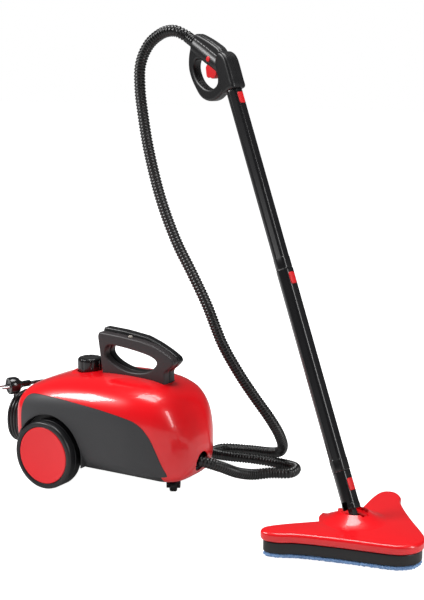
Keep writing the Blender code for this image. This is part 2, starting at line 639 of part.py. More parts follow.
# ---------------------------------------------------------------- gun and wand
def facet_ring(radius, low, high, flare=0.0):
    """Closed tube blank with the six flats of the moulded tubes."""
    bm = bmesh.new()
    rings = []
    for z, r in ((low, radius + flare), (high, radius)):
        ring = []
        for i in range(12):
            a = math.radians(60 * (i // 2) + (CORNER if i % 2 else -CORNER))
            ring.append(bm.verts.new((r * math.cos(a), r * math.sin(a), z)))
        rings.append(ring)
    for i in range(12):
        j = (i + 1) % 12
        bm.faces.new((rings[0][i], rings[0][j], rings[1][j], rings[1][i]))
    bm.faces.new(rings[0])
    bm.faces.new(rings[1])
    return bm


def wand_tube(wand, name, low, high, radius, button_at):
    """One extension tube with a pocket for its release button and a round bore."""
    tube = finish(facet_ring(radius, low + GAP / 2, high - GAP / 2, 0.0004), name, BLACK, wand)
    bevel(tube, 0.0006)
    bore = cylinder(radius - 0.0036, low - 0.01, high + 0.01, 20)
    boolean(tube, finish(bore, name + "_bore", None, wand))
    pocket = finish(button_block(radius, button_at, GAP, 0.0), name + "_pocket", None, wand)
    boolean(tube, pocket)
    return tube


def button_block(radius, at, grow, proud):
    """Rounded block of a release button, on the front of the tube."""
    half_w = 0.0060 + grow
    half_h = 0.0105 + grow
    outline = [(-half_w, -half_h + 0.003), (-half_w + 0.003, -half_h), (half_w - 0.003, -half_h),
               (half_w, -half_h + 0.003), (half_w, half_h - 0.003), (half_w - 0.003, half_h),
               (-half_w + 0.003, half_h), (-half_w, half_h - 0.003)]
    back = radius - 0.0062 - grow
    front = radius * math.cos(math.radians(CORNER)) + (proud if proud else 0.01)
    bm = plate([outline], (front - back) / 2)
    bmesh.ops.rotate(bm, cent=(0, 0, 0), verts=bm.verts,
                     matrix=Matrix.Rotation(math.pi / 2, 3, "Z"))
    bmesh.ops.translate(bm, vec=((front + back) / 2, 0, at), verts=bm.verts)
    return bm


def wand_parts(wand):
    upper_r = TUBE_R - TUBE_TAPER
    wand_tube(wand, "lower_tube", JOINT_LOW, JOINT_MID, TUBE_R, JOINT_MID - 0.019)
    wand_tube(wand, "upper_tube", JOINT_MID, JOINT_TOP, upper_r, JOINT_TOP - 0.018)
    neck = finish(facet_ring(TUBE_R, 0.0135, JOINT_LOW - GAP / 2), "neck_socket", BLACK, wand)
    bevel(neck, 0.0006)
    boolean(neck, finish(cylinder(TUBE_R - 0.0036, 0.030, 0.12, 20), "neck_bore", None, wand))
    boolean(neck, finish(button_block(TUBE_R, JOINT_LOW - 0.025, GAP, 0.0), "neck_pocket", None,
                         wand))
    slot = box((0.0126, 0.0402, 0.0340), (0, 0, 0.0110))
    boolean(neck, finish(slot, "neck_slot", None, wand))
    cross = cylinder(PIN_R + GAP, -0.0143, 0.0143, 16, "X", (0, 0, ROLL_AT))
    boolean(neck, finish(cross, "neck_pin_bore", None, wand))
    finish(cylinder(PIN_R, -0.0140, 0.0140, 16, "X", (0, 0, ROLL_AT)), "roll_pin", STEEL, wand)
    for name, at, radius in (("neck", JOINT_LOW - 0.025, TUBE_R),
                             ("middle", JOINT_MID - 0.019, TUBE_R),
                             ("upper", JOINT_TOP - 0.018, upper_r)):
        shape = button_block(radius, 0, 0, 0.0010)
        button = finish(shape, "release_button_" + name, RED, wand, (0, 0, at))
        bevel(button, 0.0008)
    for name, low, high in (("lower", JOINT_LOW - 0.012, JOINT_MID - 0.030),
                            ("upper", JOINT_MID - 0.028, JOINT_TOP - 0.030)):
        pipe = turned([(0.0030, low), (0.0055, low), (0.0055, high), (0.0030, high)], 14, True)
        finish(pipe, name + "_inner_pipe", STEEL, wand)


GUN_HALF = 0.0165


def ring_outline():
    """Outline of the D-shaped hand loop, in the plane of the gun."""
    line = [(-0.050, 0.909), (-0.064, 0.903), (-0.083, 0.884), (-0.0935, 0.864), (-0.0955, 0.845),
            (-0.0915, 0.822), (-0.083, 0.799), (-0.066, 0.784), (-0.046, 0.7785), (-0.024, 0.7815),
            (-0.004, 0.788), (0.006, 0.802), (0.004, 0.850), (-0.010, 0.872), (-0.032, 0.895)]
    return smooth([(x, z, 0) for x, z in line], 2)


def ring_hole():
    line = [(-0.070, 0.866), (-0.0790, 0.857), (-0.0805, 0.842), (-0.0765, 0.826), (-0.065, 0.810),
            (-0.051, 0.801), (-0.038, 0.7995), (-0.028, 0.804), (-0.024, 0.816), (-0.028, 0.828),
            (-0.044, 0.846), (-0.058, 0.862)]
    return smooth([(x, z, 0) for x, z in line], 2)


def gun_master(wand):
    """Outside of the whole gun, kept as the tool both halves are taken from."""
    ring = finish(plate([ring_outline(), ring_hole()], 0.0100, 0.0045, 1), "gun_form", None, wand)
    barrel = turned([(0, -0.006), (0.0140, -0.006), (0.0158, 0.010), (0.0160, 0.050),
                     (0.0152, 0.086), (0.0145, 0.0885), (0, 0.0885)], 28)
    form = finish(barrel, "gun_barrel_form", None, wand, (-0.0085, 0, 0.8265),
                  (0, math.radians(-39), 0))
    boolean(ring, form, "UNION")
    hood = plate([smooth([(-0.0150, 0.7762, 0), (-0.0165, 0.800, 0), (-0.0150, 0.826, 0),
                          (-0.006, 0.846, 0), (0.004, 0.850, 0), (0.0135, 0.842, 0),
                          (0.0180, 0.830, 0), (0.0185, 0.815, 0), (0.0180, 0.795, 0),
                          (0.0165, 0.7764, 0), (0.0, 0.7762, 0)], 2)], GUN_HALF, 0.0050, 1)
    boolean(ring, finish(hood, "gun_hood_form", None, wand), "UNION")
    return ring


def gun_cavities(wand):
    """Space inside the gun for the pipe, the switch and the trigger."""
    tools = []
    tools.append(finish(rod(even(gun_pipe_line(), 0.006), 0.0037, 2), "gun_pipe_space", None,
                        wand))
    tools.append(finish(cylinder(HOSE_D / 2 + 0.0005, -0.001, 0.0300, 24), "gun_hose_bore", None,
                        wand,
                        tuple(HOSE_IN_GUN), (0, math.radians(-39), 0)))
    socket = cylinder(TUBE_R - TUBE_TAPER - 0.0040, 0.770, 0.806, 24)
    tools.append(finish(socket, "gun_socket", None, wand))
    seat = box((0.060, 0.060, 0.030), (0, 0, JOINT_TOP + GAP / 2 - 0.015))
    tools.append(finish(seat, "gun_seat", None, wand))
    tools.append(finish(box((0.0106, 0.0110, 0.0106)), "gun_switch_space", None, wand,
                        tuple(MICRO_AT), (0, math.radians(-39), 0)))
    slot = plate([[(-0.0205, 0.8120), (-0.0200, 0.8400), (-0.0300, 0.8460), (-0.0470, 0.8560),
                   (-0.0640, 0.8500), (-0.0610, 0.8200), (-0.0440, 0.8080)]], 0.0068)
    tools.append(finish(slot, "trigger_slot", None, wand))
    lock = cylinder(0.0050 + GAP, -0.030, 0.030, 18, "Y", tuple(LOCK_AT))
    tools.append(finish(lock, "lock_bore", None, wand))
    return tools


HOSE_IN_GUN = Vector((-0.0515, 0, 0.8795))
MICRO_AT = Vector((-0.0129, 0, 0.8331))
LOCK_AT = Vector((-0.0265, 0, 0.8490))
TRIGGER_AXIS = Vector((-0.0263, 0, 0.8326))


def gun_pipe_line():
    """From the hose, over the lock and the switch, down into the wand."""
    turn = math.radians(39)
    runs = ((0.0620, 0.0), (0.0500, 0.0030), (0.0400, 0.0075), (0.0280, 0.0106),
            (0.0120, 0.0106), (0.0020, 0.0100))
    line = [(-0.0085 - along * math.sin(turn) + over * math.cos(turn), 0,
             0.8265 + along * math.cos(turn) + over * math.sin(turn)) for along, over in runs]
    return smooth(line + [(0.0036, 0, 0.8250), (0.0040, 0, 0.8140), (0, 0, 0.7965)], 5, False)


def gun(wand):
    """Steam gun: two halves, trigger, spring, lock, switch and pipe."""
    form = gun_master(wand)
    tools = gun_cavities(wand)
    for side, name in ((-1, "right"), (1, "left")):
        block = box((0.20, 0.040, 0.20), (-0.030, side * (0.020 + GAP / 2), 0.845))
        half = finish(block, "gun_half_" + name, BLACK, wand)
        boolean(half, form, "INTERSECT")
        for tool in tools:
            boolean(half, tool)
    finish(rod(even(gun_pipe_line(), 0.006), 0.0030), "gun_steam_pipe", BRASS, wand)
    micro = finish(box((0.0100, 0.0104, 0.0100)), "gun_microswitch", RED, wand, tuple(MICRO_AT),
                   (0, math.radians(-39), 0))
    bevel(micro, 0.0006)
    axis = empty("trigger_axis", wand, tuple(TRIGGER_AXIS))
    blade = [(0.0040, -0.0030), (0.0020, 0.0045), (-0.0080, 0.0095), (-0.0190, 0.0145),
             (-0.0250, 0.0110), (-0.0290, -0.0040), (-0.0270, -0.0090), (-0.0200, -0.0105),
             (-0.0170, -0.0150), (-0.0090, -0.0165), (-0.0020, -0.0130)]
    trigger = plate([rounded([Vector((a, b, 0)) for a, b in blade], 0.002)], 0.0062, 0.0012)
    finish(trigger, "trigger", RED, axis)
    lock = turned([(0, -0.0176), (0.0036, -0.0176), (0.0050, -0.0164), (0.0050, 0.0164),
                   (0.0036, 0.0176), (0, 0.0176)], 18)
    finish(lock, "lock_button", RED, wand, tuple(LOCK_AT), (math.pi / 2, 0, 0))


# ---------------------------------------------------------------- mop head
def head_outline(inset):
    """The delta shape of the head, seen from above; forward is +X."""
    w, f, b = HEAD_HALF, HEAD_FRONT, HEAD_BACK
    half = [(f, 0.0), (f - 0.006, 0.022), (f - 0.026, 0.042), (0.35 * f, 0.53 * w),
            (-0.10 * b, 0.78 * w), (-0.45 * b, 0.93 * w), (-0.80 * b, w), (-1.04 * b, 0.965 * w),
            (-1.12 * b, 0.86 * w), (-0.95 * b, 0.66 * w), (-0.66 * b, 0.42 * w),
            (-0.46 * b, 0.24 * w), (-0.42 * b, 0.0)]
    full = half + [(x, -y) for x, y in reversed(half[1:-1])]
    pts = smooth([(x, y, 0) for x, y in full], 2)
    return grown(pts, -inset)


def mop_head(tilt):
    """Cover, base and pad, tied to the pivot empty that stands level."""
    t = COVER_TOP - BASE_TOP
    cover = plate([head_outline(0)], t / 2 - GAP / 2, 0.0040, 1, "XY")
    bmesh.ops.translate(cover, vec=(0, 0, (COVER_TOP + BASE_TOP) / 2 - PIVOT.z), verts=cover.verts)
    cover = finish(cover, "head_cover", RED, tilt)
    mound = turned([(0, -0.012), (0.052, -0.012), (0.047, -0.0055), (0.036, 0.0000),
                    (0.027, 0.0085), (0.0215, 0.0125), (0, 0.0125)], 28)
    boolean(cover, finish(mound, "yoke_form", None, tilt), "UNION")
    gap = box((0.046, 0.0150, 0.060), (0.004, 0, 0.0180))
    boolean(cover, finish(gap, "yoke_gap", None, tilt))
    clear = turned([(0, 0.0045), (0.0235, 0.0058), (0.0265, 0.040), (0, 0.040)], 24)
    boolean(cover, finish(clear, "neck_clearance", None, tilt))
    notch = box((0.060, 0.0350, 0.060), (-0.0395, 0, 0.0205))
    boolean(cover, finish(notch, "lean_notch", None, tilt))
    pin = cylinder(PIN_R + GAP, -0.024, 0.024, 16, "Y")
    boolean(cover, finish(pin, "yoke_pin_bore", None, tilt))
    base = plate([head_outline(0.0045)], (BASE_TOP - PAD_T) / 2 - GAP / 2, 0.0015, 1, "XY")
    bmesh.ops.translate(base, vec=(0, 0, (BASE_TOP + PAD_T) / 2 - PIVOT.z), verts=base.verts)
    finish(base, "head_base", BLACK, tilt)
    pad = plate([head_outline(0.0035)], PAD_T / 2 - GAP / 2, 0.0030, 1, "XY")
    bmesh.ops.translate(pad, vec=(0, 0, PAD_T / 2 - PIVOT.z), verts=pad.verts)
    finish(pad, "mop_pad", CLOTH, tilt)
    finish(cylinder(PIN_R, -0.0220, 0.0220, 16), "pitch_pin", STEEL, tilt, (0, 0, 0),
           (math.pi / 2, 0, 0))


def knuckle(wand):
    """Cross piece between the neck and the head."""
    body = finish(box((0.0116, 0.0120, 0.0310), (0, 0, 0.0090)), "knuckle", BLACK, wand)
    bevel(body, 0.0024, 2)
    bore = cylinder(PIN_R + GAP, -0.02, 0.02, 16, "Y")
    boolean(body, finish(bore, "knuckle_pitch_bore", None, wand))
    bore = cylinder(PIN_R + GAP, -0.02, 0.02, 16, "X", (0, 0, ROLL_AT))
    boolean(body, finish(bore, "knuckle_roll_bore", None, wand))


# ---------------------------------------------------------------- cords
def hose_line(gun_end):
    """Route of the steam hose, from the nose over the floor to the gun."""
    low = HOSE_D / 2 + 0.001
    line = [(0.2710, 0.0003, OUTLET_Z - 0.0003), (0.2840, 0.0120, 0.0580),
            (0.2970, 0.0400, 0.0440), (0.3060, 0.0800, 0.0240), (0.3200, 0.1180, low),
            (0.3450, 0.1440, low), (0.3760, 0.1640, low), (0.3720, 0.1960, low),
            (0.3360, 0.2060, low), (0.2850, 0.1960, low + 0.004), (0.2220, 0.1840, low + 0.004),
            (0.1810, 0.1980, low), (0.1850, 0.2350, low), (0.2360, 0.2520, low),
            (0.2980, 0.2480, low + 0.006), (0.3310, 0.2180, 0.0420), (0.3440, 0.1800, 0.0800),
            (0.3370, 0.1520, 0.1200), (0.3160, 0.1300, 0.1640), (0.2940, 0.1050, 0.2150),
            (0.2700, 0.0820, 0.2760), (0.2450, 0.0680, 0.3500), (0.2140, 0.0620, 0.4120),
            (0.1790, 0.0610, 0.4720), (0.1460, 0.0600, 0.5500), (0.1200, 0.0600, 0.6400),
            (0.1060, 0.0600, 0.7160), (0.1010, 0.0600, 0.7600), (0.1040, 0.0590, 0.8020),
            (0.1240, 0.0580, 0.8380), (0.1560, 0.0570, 0.8590), (0.1850, 0.0560, 0.8620)]
    extra = NOSE - 0.277                 # a longer casing pushes the floor part of the hose on
    keep = [min(1.0, max(0.0, (len(line) - 8 - i) / 12)) for i in range(len(line))]
    pts = [Vector((p[0] + extra * k + AXLE_X, p[1] + AXLE_Y, p[2])) for p, k in zip(line, keep)]
    start = Vector((NOSE - 0.0295 + AXLE_X, AXLE_Y, OUTLET_Z))
    return [start] + even(smooth(pts + gun_end[:1], 6, False), 0.028) + gun_end[1:]


def hank(canister):
    """The wound mains lead, hung on the rear hook, as its outer shape."""
    top = 0.1325
    low = 0.0520
    wide = 0.040
    r = 0.0170
    oval = []
    for i in range(28):
        a = math.tau * i / 28
        y = wide * math.copysign(abs(math.cos(a)) ** 0.85, math.cos(a))
        z = (top + low) / 2 + (top - low) / 2 * math.copysign(abs(math.sin(a)) ** 0.85, math.sin(a))
        oval.append((y, z))
    bm = bmesh.new()
    rings = []
    for i, (y, z) in enumerate(oval):
        ty = oval[(i + 1) % 28][0] - oval[i - 1][0]
        tz = oval[(i + 1) % 28][1] - oval[i - 1][1]
        n = Vector((0, tz, -ty)).normalized()
        ring = []
        for k in range(10):
            b = math.tau * k / 10
            ring.append(bm.verts.new(Vector((r * math.cos(b), y, z)) + n * 0.0145 * math.sin(b)))
        rings.append(ring)
    for i in range(28):
        a, b = rings[i], rings[(i + 1) % 28]
        for k in range(10):
            j = (k + 1) % 10
            bm.faces.new((a[k], a[j], b[j], b[k]))
    finish(bm, "mains_hank", RUBBER, canister, (HANK_X, 0, 0))


HANK_X = REAR_X - 0.0442
PLUG_AT = Vector((REAR_X - 0.0440, -0.0360, 0.1645))
PLUG_TAIL = Vector((0.46, 0.88, 0.02)).normalized()      # from the plug to its lead


def mains_lead(canister):
    """The free runs of the lead: gland to hank, and hank to the plug that rests on top."""
    start = Vector((REAR_X - 0.0062, GLAND_Y, GLAND_Z))
    line = smooth([(REAR_X - 0.036, GLAND_Y, GLAND_Z), (REAR_X - 0.046, 0.0665, 0.0900),
                   (REAR_X - 0.052, 0.0650, 0.0770), (REAR_X - 0.050, 0.0610, 0.0600),
                   (REAR_X - 0.044, 0.0560, 0.0500)], 5, False)
    finish(rod([start] + even(line, 0.006), LEAD_D / 2), "mains_lead", RUBBER, canister)
    plug = turned([(0, -0.030), (0.0045, -0.030), (0.0060, -0.010), (0.0130, -0.004),
                   (0.0165, 0.004), (0.0165, 0.016), (0.0150, 0.018), (0, 0.018)], 20)
    tail = PLUG_AT + PLUG_TAIL * (0.030 + GAP)
    turn = (-PLUG_TAIL).to_track_quat("Z", "Y").to_euler()
    finish(plug, "mains_plug", BLACK, canister, tuple(PLUG_AT), tuple(turn))
    line = smooth([tail, tail + PLUG_TAIL * 0.010, (REAR_X - 0.0180, 0.0210, 0.1640),
                   (REAR_X - 0.0175, 0.0420, 0.1570), (REAR_X - 0.0215, 0.0560, 0.1390),
                   (REAR_X - 0.0290, 0.0600, 0.1200)], 5, False)
    finish(rod(even(line, 0.006), LEAD_D / 2), "mains_lead_end", RUBBER, canister)


def cords(canister, wand):
    turn = wand.matrix_world
    axis = Vector((-math.sin(math.radians(39)), 0, math.cos(math.radians(39))))
    mouth = turn @ (HOSE_IN_GUN + axis * 0.0004)
    out = (turn.to_3x3() @ axis).normalized()
    end = [mouth + out * 0.050, mouth + out * 0.026, mouth]
    finish(rod(hose_line(end), HOSE_D / 2), "steam_hose", RUBBER, None)
    hank(canister)
    mains_lead(canister)


# ---------------------------------------------------------------- assembly
def build():
    clear_scene()
    canister = empty("canister_frame", None, (AXLE_X, AXLE_Y, 0))
    tools = casing_cutters(canister)
    top_shell(canister, tools)
    panel = side_panel(canister, -1, "right")
    mirrored(panel, "side_panel_left", GREY, canister)
    base_tray(canister, tools)
    carry_handle(canister)
    filler_cap(canister)
    boiler(canister)
    steam_circuit(canister)
    nose_socket(canister)
    rear_fittings(canister)
    wheels(canister)
    castor(canister)
    foot = PIVOT + Vector((AXLE_X, AXLE_Y, 0))
    wand = empty("wand_frame", None, foot, (0, -WAND_LEAN, WAND_TURN))
    wand_parts(wand)
    gun(wand)
    knuckle(wand)
    mop_head(empty("head_frame", None, foot, (0, 0, WAND_TURN)))
    bpy.context.view_layer.update()
    cords(canister, wand)
    bpy.context.view_layer.update()


build()
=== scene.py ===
# %% [markdown]
# # A canister steam cleaner, finished for the camera
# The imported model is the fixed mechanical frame: every joint and size comes from it. This file adds
# what a moulding shop, a hose maker and a sewing room would add. Each step first says what the
# piece is on the real machine, how it could be made in Blender, and why this way was chosen.

# %% The fixed frame
import json
import math
import random

import bmesh
import bpy
from mathutils import Matrix, Vector


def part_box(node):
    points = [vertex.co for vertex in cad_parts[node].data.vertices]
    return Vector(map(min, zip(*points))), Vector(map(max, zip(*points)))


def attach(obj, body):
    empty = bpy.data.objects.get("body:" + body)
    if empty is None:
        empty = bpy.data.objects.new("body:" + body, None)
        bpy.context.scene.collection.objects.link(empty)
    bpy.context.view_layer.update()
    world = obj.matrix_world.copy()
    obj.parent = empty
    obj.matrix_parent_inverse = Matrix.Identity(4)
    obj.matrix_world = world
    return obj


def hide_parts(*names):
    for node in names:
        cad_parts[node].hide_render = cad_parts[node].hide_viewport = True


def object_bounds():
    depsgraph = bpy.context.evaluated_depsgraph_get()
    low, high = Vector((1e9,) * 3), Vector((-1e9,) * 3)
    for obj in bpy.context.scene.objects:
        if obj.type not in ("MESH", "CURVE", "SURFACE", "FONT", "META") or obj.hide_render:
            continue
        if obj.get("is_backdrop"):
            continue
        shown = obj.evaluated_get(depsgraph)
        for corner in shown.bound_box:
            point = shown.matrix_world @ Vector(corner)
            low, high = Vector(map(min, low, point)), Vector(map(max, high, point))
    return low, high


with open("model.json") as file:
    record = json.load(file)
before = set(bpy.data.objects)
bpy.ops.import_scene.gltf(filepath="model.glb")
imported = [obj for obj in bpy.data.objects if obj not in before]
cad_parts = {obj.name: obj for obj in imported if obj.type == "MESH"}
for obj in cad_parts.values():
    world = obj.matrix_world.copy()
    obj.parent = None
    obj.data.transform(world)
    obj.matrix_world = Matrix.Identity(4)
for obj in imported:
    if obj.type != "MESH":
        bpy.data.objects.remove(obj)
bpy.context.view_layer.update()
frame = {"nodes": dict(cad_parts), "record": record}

BODY = "cleaner_body"

# %% [markdown]
# The canister, the wand and the head each have their own natural axes. Their places are read from
# the frame: the axle line from the two rear wheels, the foot of the wand from the pin it tilts on.
# Working in those axes keeps every number below a plain measure of the piece itself.

# %% Places of the three assemblies


def middle(node):
    low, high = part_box(node)
    return (low + high) / 2


AXLE = (middle("wheel_right") + middle("wheel_left")) / 2
WHEEL_R = AXLE.z
CANISTER = Matrix.Translation((AXLE.x, AXLE.y, 0))
FOOT = middle("pitch_pin")
LEAN, TURN = math.radians(24.5), math.radians(-20)
HEAD = Matrix.Translation(FOOT) @ Matrix.Rotation(TURN, 4, "Z")
WAND = HEAD @ Matrix.Rotation(-LEAN, 4, "Y")
print("axle", [round(x, 4) for x in AXLE], "foot", [round(x, 4) for x in FOOT])

# %% [markdown]
# The camera stands in front of the nose, to the right of the machine, and looks slightly down. A
# long lens from more than two metres keeps the tubes straight. The floor is a wide pale sheet, and
# the light is a bright room with three soft boxes, because gloss plastic shows what stands round
# it. Room and floor are bright to the camera and dim to everything else, so the blacks stay deep.

# %% Camera, floor and light
VIEW_TURN, VIEW_DOWN = math.radians(31.219), math.radians(10.826)


def linked(name, data):
    ob = bpy.data.objects.new(name, data)
    bpy.context.scene.collection.objects.link(ob)
    return ob


def bright_to_camera(tree, strength, dim):
    """Full strength in the camera's own view, and only `dim` as light and in reflections."""
    path = tree.nodes.new("ShaderNodeLightPath")
    level = tree.nodes.new("ShaderNodeMapRange")
    level.inputs["To Min"].default_value = dim
    level.inputs["To Max"].default_value = 1.0
    tree.links.new(path.outputs["Is Camera Ray"], level.inputs["Value"])
    tree.links.new(level.outputs["Result"], strength)


def soft_box(name, place, aim, size, power):
    lamp = bpy.data.lights.new(name, "AREA")
    lamp.shape = "RECTANGLE"
    lamp.size, lamp.size_y = size
    lamp.energy = power
    ob = linked(name, lamp)
    ob.location = place
    ob.rotation_euler = (Vector(aim) - Vector(place)).to_track_quat("-Z", "Y").to_euler()


camera_data = bpy.data.cameras.new("studio_camera")
camera_data.sensor_fit = "VERTICAL"
camera_data.sensor_width = 24
camera_data.sensor_height = 24
camera_data.lens = 52
camera_data.clip_end = 50
camera = linked("studio_camera", camera_data)
camera.location = CANISTER @ Vector((1.513, -2.006, 0.825))
camera.rotation_euler = (math.pi / 2 - VIEW_DOWN, 0, VIEW_TURN)
bpy.context.scene.camera = camera
bpy.context.scene.view_settings.view_transform = "Standard"

bpy.ops.mesh.primitive_plane_add(size=30, location=(0, 0, -0.0002))
floor = bpy.context.object
floor.name = "studio_floor"
paper = bpy.data.materials.new("pale_paper")
paper.use_nodes = True
sheet = paper.node_tree.nodes["Principled BSDF"]
sheet.inputs["Base Color"].default_value = (0.55, 0.55, 0.55, 1)
sheet.inputs["Roughness"].default_value = 0.8
sheet.inputs["Emission Color"].default_value = (1, 1, 1, 1)
bright_to_camera(paper.node_tree, sheet.inputs["Emission Strength"], 0.08)
floor.data.materials.append(paper)
floor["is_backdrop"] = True

soft_box("key_box", (-2.2, -1.6, 2.3), (0, 0, 0.2), (1.2, 1.2), 92)
soft_box("side_box", (2.9, -0.2, 1.5), (0, 0, 0.3), (0.7, 2.0), 44)
soft_box("top_box", (0.0, 0.3, 3.0), (0, 0, 0.2), (1.4, 1.4), 60)
world = bpy.data.worlds.new("bright_room")
bpy.context.scene.world = world
world.use_nodes = True
room = world.node_tree.nodes["Background"]
room.inputs["Color"].default_value = (1, 1, 1, 1)
bright_to_camera(world.node_tree, room.inputs["Strength"], 0.10)
print("camera", [round(x, 3) for x in camera.location], "and three soft boxes")

# %% [markdown]
# A finish is a small node tree. Values are written as ordinary sums: the class below wraps a socket
# so that `0.4 + 0.1 * grain` adds its Math nodes. Every other node comes from one method, which
# takes the kind of node, its settings, and what goes into its sockets.

# %% Sockets that understand sums


class Value:
    """An output socket that can be added, subtracted and scaled like a number."""

    def __init__(self, tree, socket):
        self.tree, self.socket = tree, socket

    def sum(self, operation, first, second):
        node = self.tree.nodes.new("ShaderNodeMath")
        node.operation = operation
        for slot, item in zip(node.inputs, (first, second)):
            connect(self.tree, slot, item)
        return Value(self.tree, node.outputs[0])

    def __add__(self, other):
        return self.sum("ADD", self, other)

    def __radd__(self, other):
        return self.sum("ADD", other, self)

    def __sub__(self, other):
        return self.sum("SUBTRACT", self, other)

    def __rsub__(self, other):
        return self.sum("SUBTRACT", other, self)

    def __mul__(self, other):
        return self.sum("MULTIPLY", self, other)

    def __rmul__(self, other):
        return self.sum("MULTIPLY", other, self)


def connect(tree, slot, item):
    if isinstance(item, Value):
        tree.links.new(item.socket, slot)
    elif hasattr(slot, "default_value") and not isinstance(item, (int, float)) \
            and len(slot.default_value) == 4 and len(item) == 3:
        slot.default_value = (*item, 1)
    else:
        slot.default_value = item


class Nodes:
    """Any other node comes from `node`: its kind, its settings, then what its sockets hold."""

    def node(self, kind, out=0, settings=None, **inputs):
        made = self.tree.nodes.new(kind)
        for name, value in (settings or {}).items():
            setattr(made, name, value)
        for name, value in inputs.items():
            label = name.replace("_", " ")
            connect(self.tree, next(s for s in made.inputs if s.name == label and s.enabled), value)
        return Value(self.tree, made.outputs[out])


class Finish(Nodes):
    """A material under construction: a Principled surface and the nodes that feed it."""

    def __init__(self, name, **surface):
        self.material = bpy.data.materials.new(name)
        self.material.use_nodes = True
        self.tree = self.material.node_tree
        self.shader = self.tree.nodes["Principled BSDF"]
        self.place = self.node("ShaderNodeTexCoord", "Object")
        self.set(**surface)

    def set(self, **surface):
        for name, value in surface.items():
            connect(self.tree, self.shader.inputs[name.replace("_", " ")], value)

    def noise(self, scale, detail=2.0, roughness=0.5, where=None):
        return self.node("ShaderNodeTexNoise", 0, None, Vector=where or self.place, Scale=scale,
                         Detail=detail, Roughness=roughness)

    def ramp(self, value, stops):
        made = self.tree.nodes.new("ShaderNodeValToRGB")
        ends = made.color_ramp.elements
        while len(ends) < len(stops):
            ends.new(0.5)
        for end, (at, colour) in zip(ends, stops):
            end.position = at
            end.color = (*colour, 1)
        connect(self.tree, made.inputs[0], value)
        return Value(self.tree, made.outputs[0])

    def bump(self, height, metres, strength=1.0):
        self.set(Normal=self.node("ShaderNodeBump", 0, None, Height=height, Distance=metres,
                                  Strength=strength))


print("finishes are Principled surfaces with object-space patterns")

# %% [markdown]
# Plastics are moulded, so their colour is even and their character is in the surface: a polished
# tool gives the red its wet look, an etched tool gives the greys a fine grain that scatters light.
# The grain is a noise a fraction of a millimetre across, in the Bump; a slower noise moves the
# roughness by a few hundredths, as handling and mould flow do.

# %% Finishes of the plastics


def plastic(name, colour, rough, grain, grain_depth, coat=0.0, drift=0.05, flow=0.04):
    made = Finish(name, IOR=1.5)
    slow = made.noise(22, 3)
    fine = made.noise(grain, 2, 0.6)
    made.set(Base_Color=made.node("ShaderNodeMix", 2, {"data_type": "RGBA"}, A=colour,
                                  B=[c * (1 - 2 * flow) for c in colour], Factor=slow))
    made.set(Roughness=rough - drift / 2 + drift * slow)
    if coat:
        made.set(Coat_Weight=coat, Coat_Roughness=0.03, Coat_IOR=1.5)
    made.bump(fine, grain_depth, 0.5)
    return made.material


PLASTICS = {  # colour, roughness, grain scale, grain depth, clear coat
    "red_gloss": ((0.92, 0.002, 0.008), 0.30, 900, 0.00002, 0.6),
    "red_satin": ((0.76, 0.005, 0.010), 0.42, 1500, 0.00006),
    "red_disc": ((0.95, 0.010, 0.018), 0.34, 1400, 0.00003, 0.1),
    "grey_panel": ((0.040, 0.040, 0.043), 0.46, 1700, 0.00010),
    "grey_handle": ((0.034, 0.028, 0.030), 0.44, 1700, 0.00008),
    "black_satin": ((0.006, 0.006, 0.007), 0.36, 1600, 0.00006),
    "black_gloss": ((0.008, 0.008, 0.009), 0.20, 900, 0.00002, 0.3),
    "tube_black": ((0.006, 0.006, 0.007), 0.28, 1500, 0.00003, 0.15),
    "hose_black": ((0.005, 0.005, 0.005), 0.30, 1200, 0.00004, 0.1),
}
FINISHES = {name: plastic(name, *look) for name, look in PLASTICS.items()}
print("plastics:", len(FINISHES))

# %% [markdown]
# Metal parts sit inside or between the plastics. Drawn steel shows fine turned lines, so its noise
# is stretched along one axis; brass fittings darken in blotches. Rubber is matt with a dusty bloom.

# %% Finishes of metal, rubber and glass


def metal(name, colour, rough, stretch):
    made = Finish(name, Metallic=1.0)
    line = made.node("ShaderNodeMapping", 0, None, Vector=made.place, Scale=stretch)
    brushed = made.noise(60, 4, 0.7, line)
    stain = made.noise(35, 4, 0.6)
    made.set(Roughness=rough + 0.16 * brushed)
    made.set(Base_Color=made.node("ShaderNodeMix", 2, {"data_type": "RGBA"}, A=colour,
                                  B=[c * 0.72 for c in colour], Factor=stain))
    made.bump(brushed, 0.00004, 0.4)
    return made.material


def rubber(name, colour, rough):
    made = Finish(name)
    bloom = made.noise(120, 4, 0.6)
    made.set(Roughness=rough + 0.12 * bloom)
    made.set(Base_Color=made.node("ShaderNodeMix", 2, {"data_type": "RGBA"}, A=colour,
                                  B=[c + 0.012 for c in colour], Factor=bloom))
    made.bump(made.noise(1400), 0.00006, 0.5)
    return made.material


FINISHES["steel"] = metal("steel", (0.56, 0.56, 0.57), 0.20, (1, 1, 26))
FINISHES["brass"] = metal("brass", (0.72, 0.50, 0.21), 0.24, (20, 20, 1))
FINISHES["rubber"] = rubber("rubber", (0.015, 0.015, 0.015), 0.55)
FINISHES["lead_jacket"] = rubber("lead_jacket", (0.011, 0.011, 0.011), 0.26)
lens = Finish("lamp_lens", Transmission_Weight=0.55, Roughness=0.08, IOR=1.49)
lens.set(Base_Color=lens.ramp(lens.noise(160), [(0.3, (0.95, 0.85, 0.75)), (0.7, (1, 0.96, 0.9))]))
FINISHES["lamp_lens"] = lens.material
print("finishes:", ", ".join(FINISHES))

# %% [markdown]
# Shapes come from four helpers. A turned piece is a profile spun round its axis. A plate is a flat
# outline, given thickness and a rounded rim by a curve object. A loft skins a stack of rings, and a
# tube is a loft along a line. Every finished piece goes through `piece`, which bakes its place into
# the mesh, shades it, and lets it ride on its body.

# %% Shape helpers


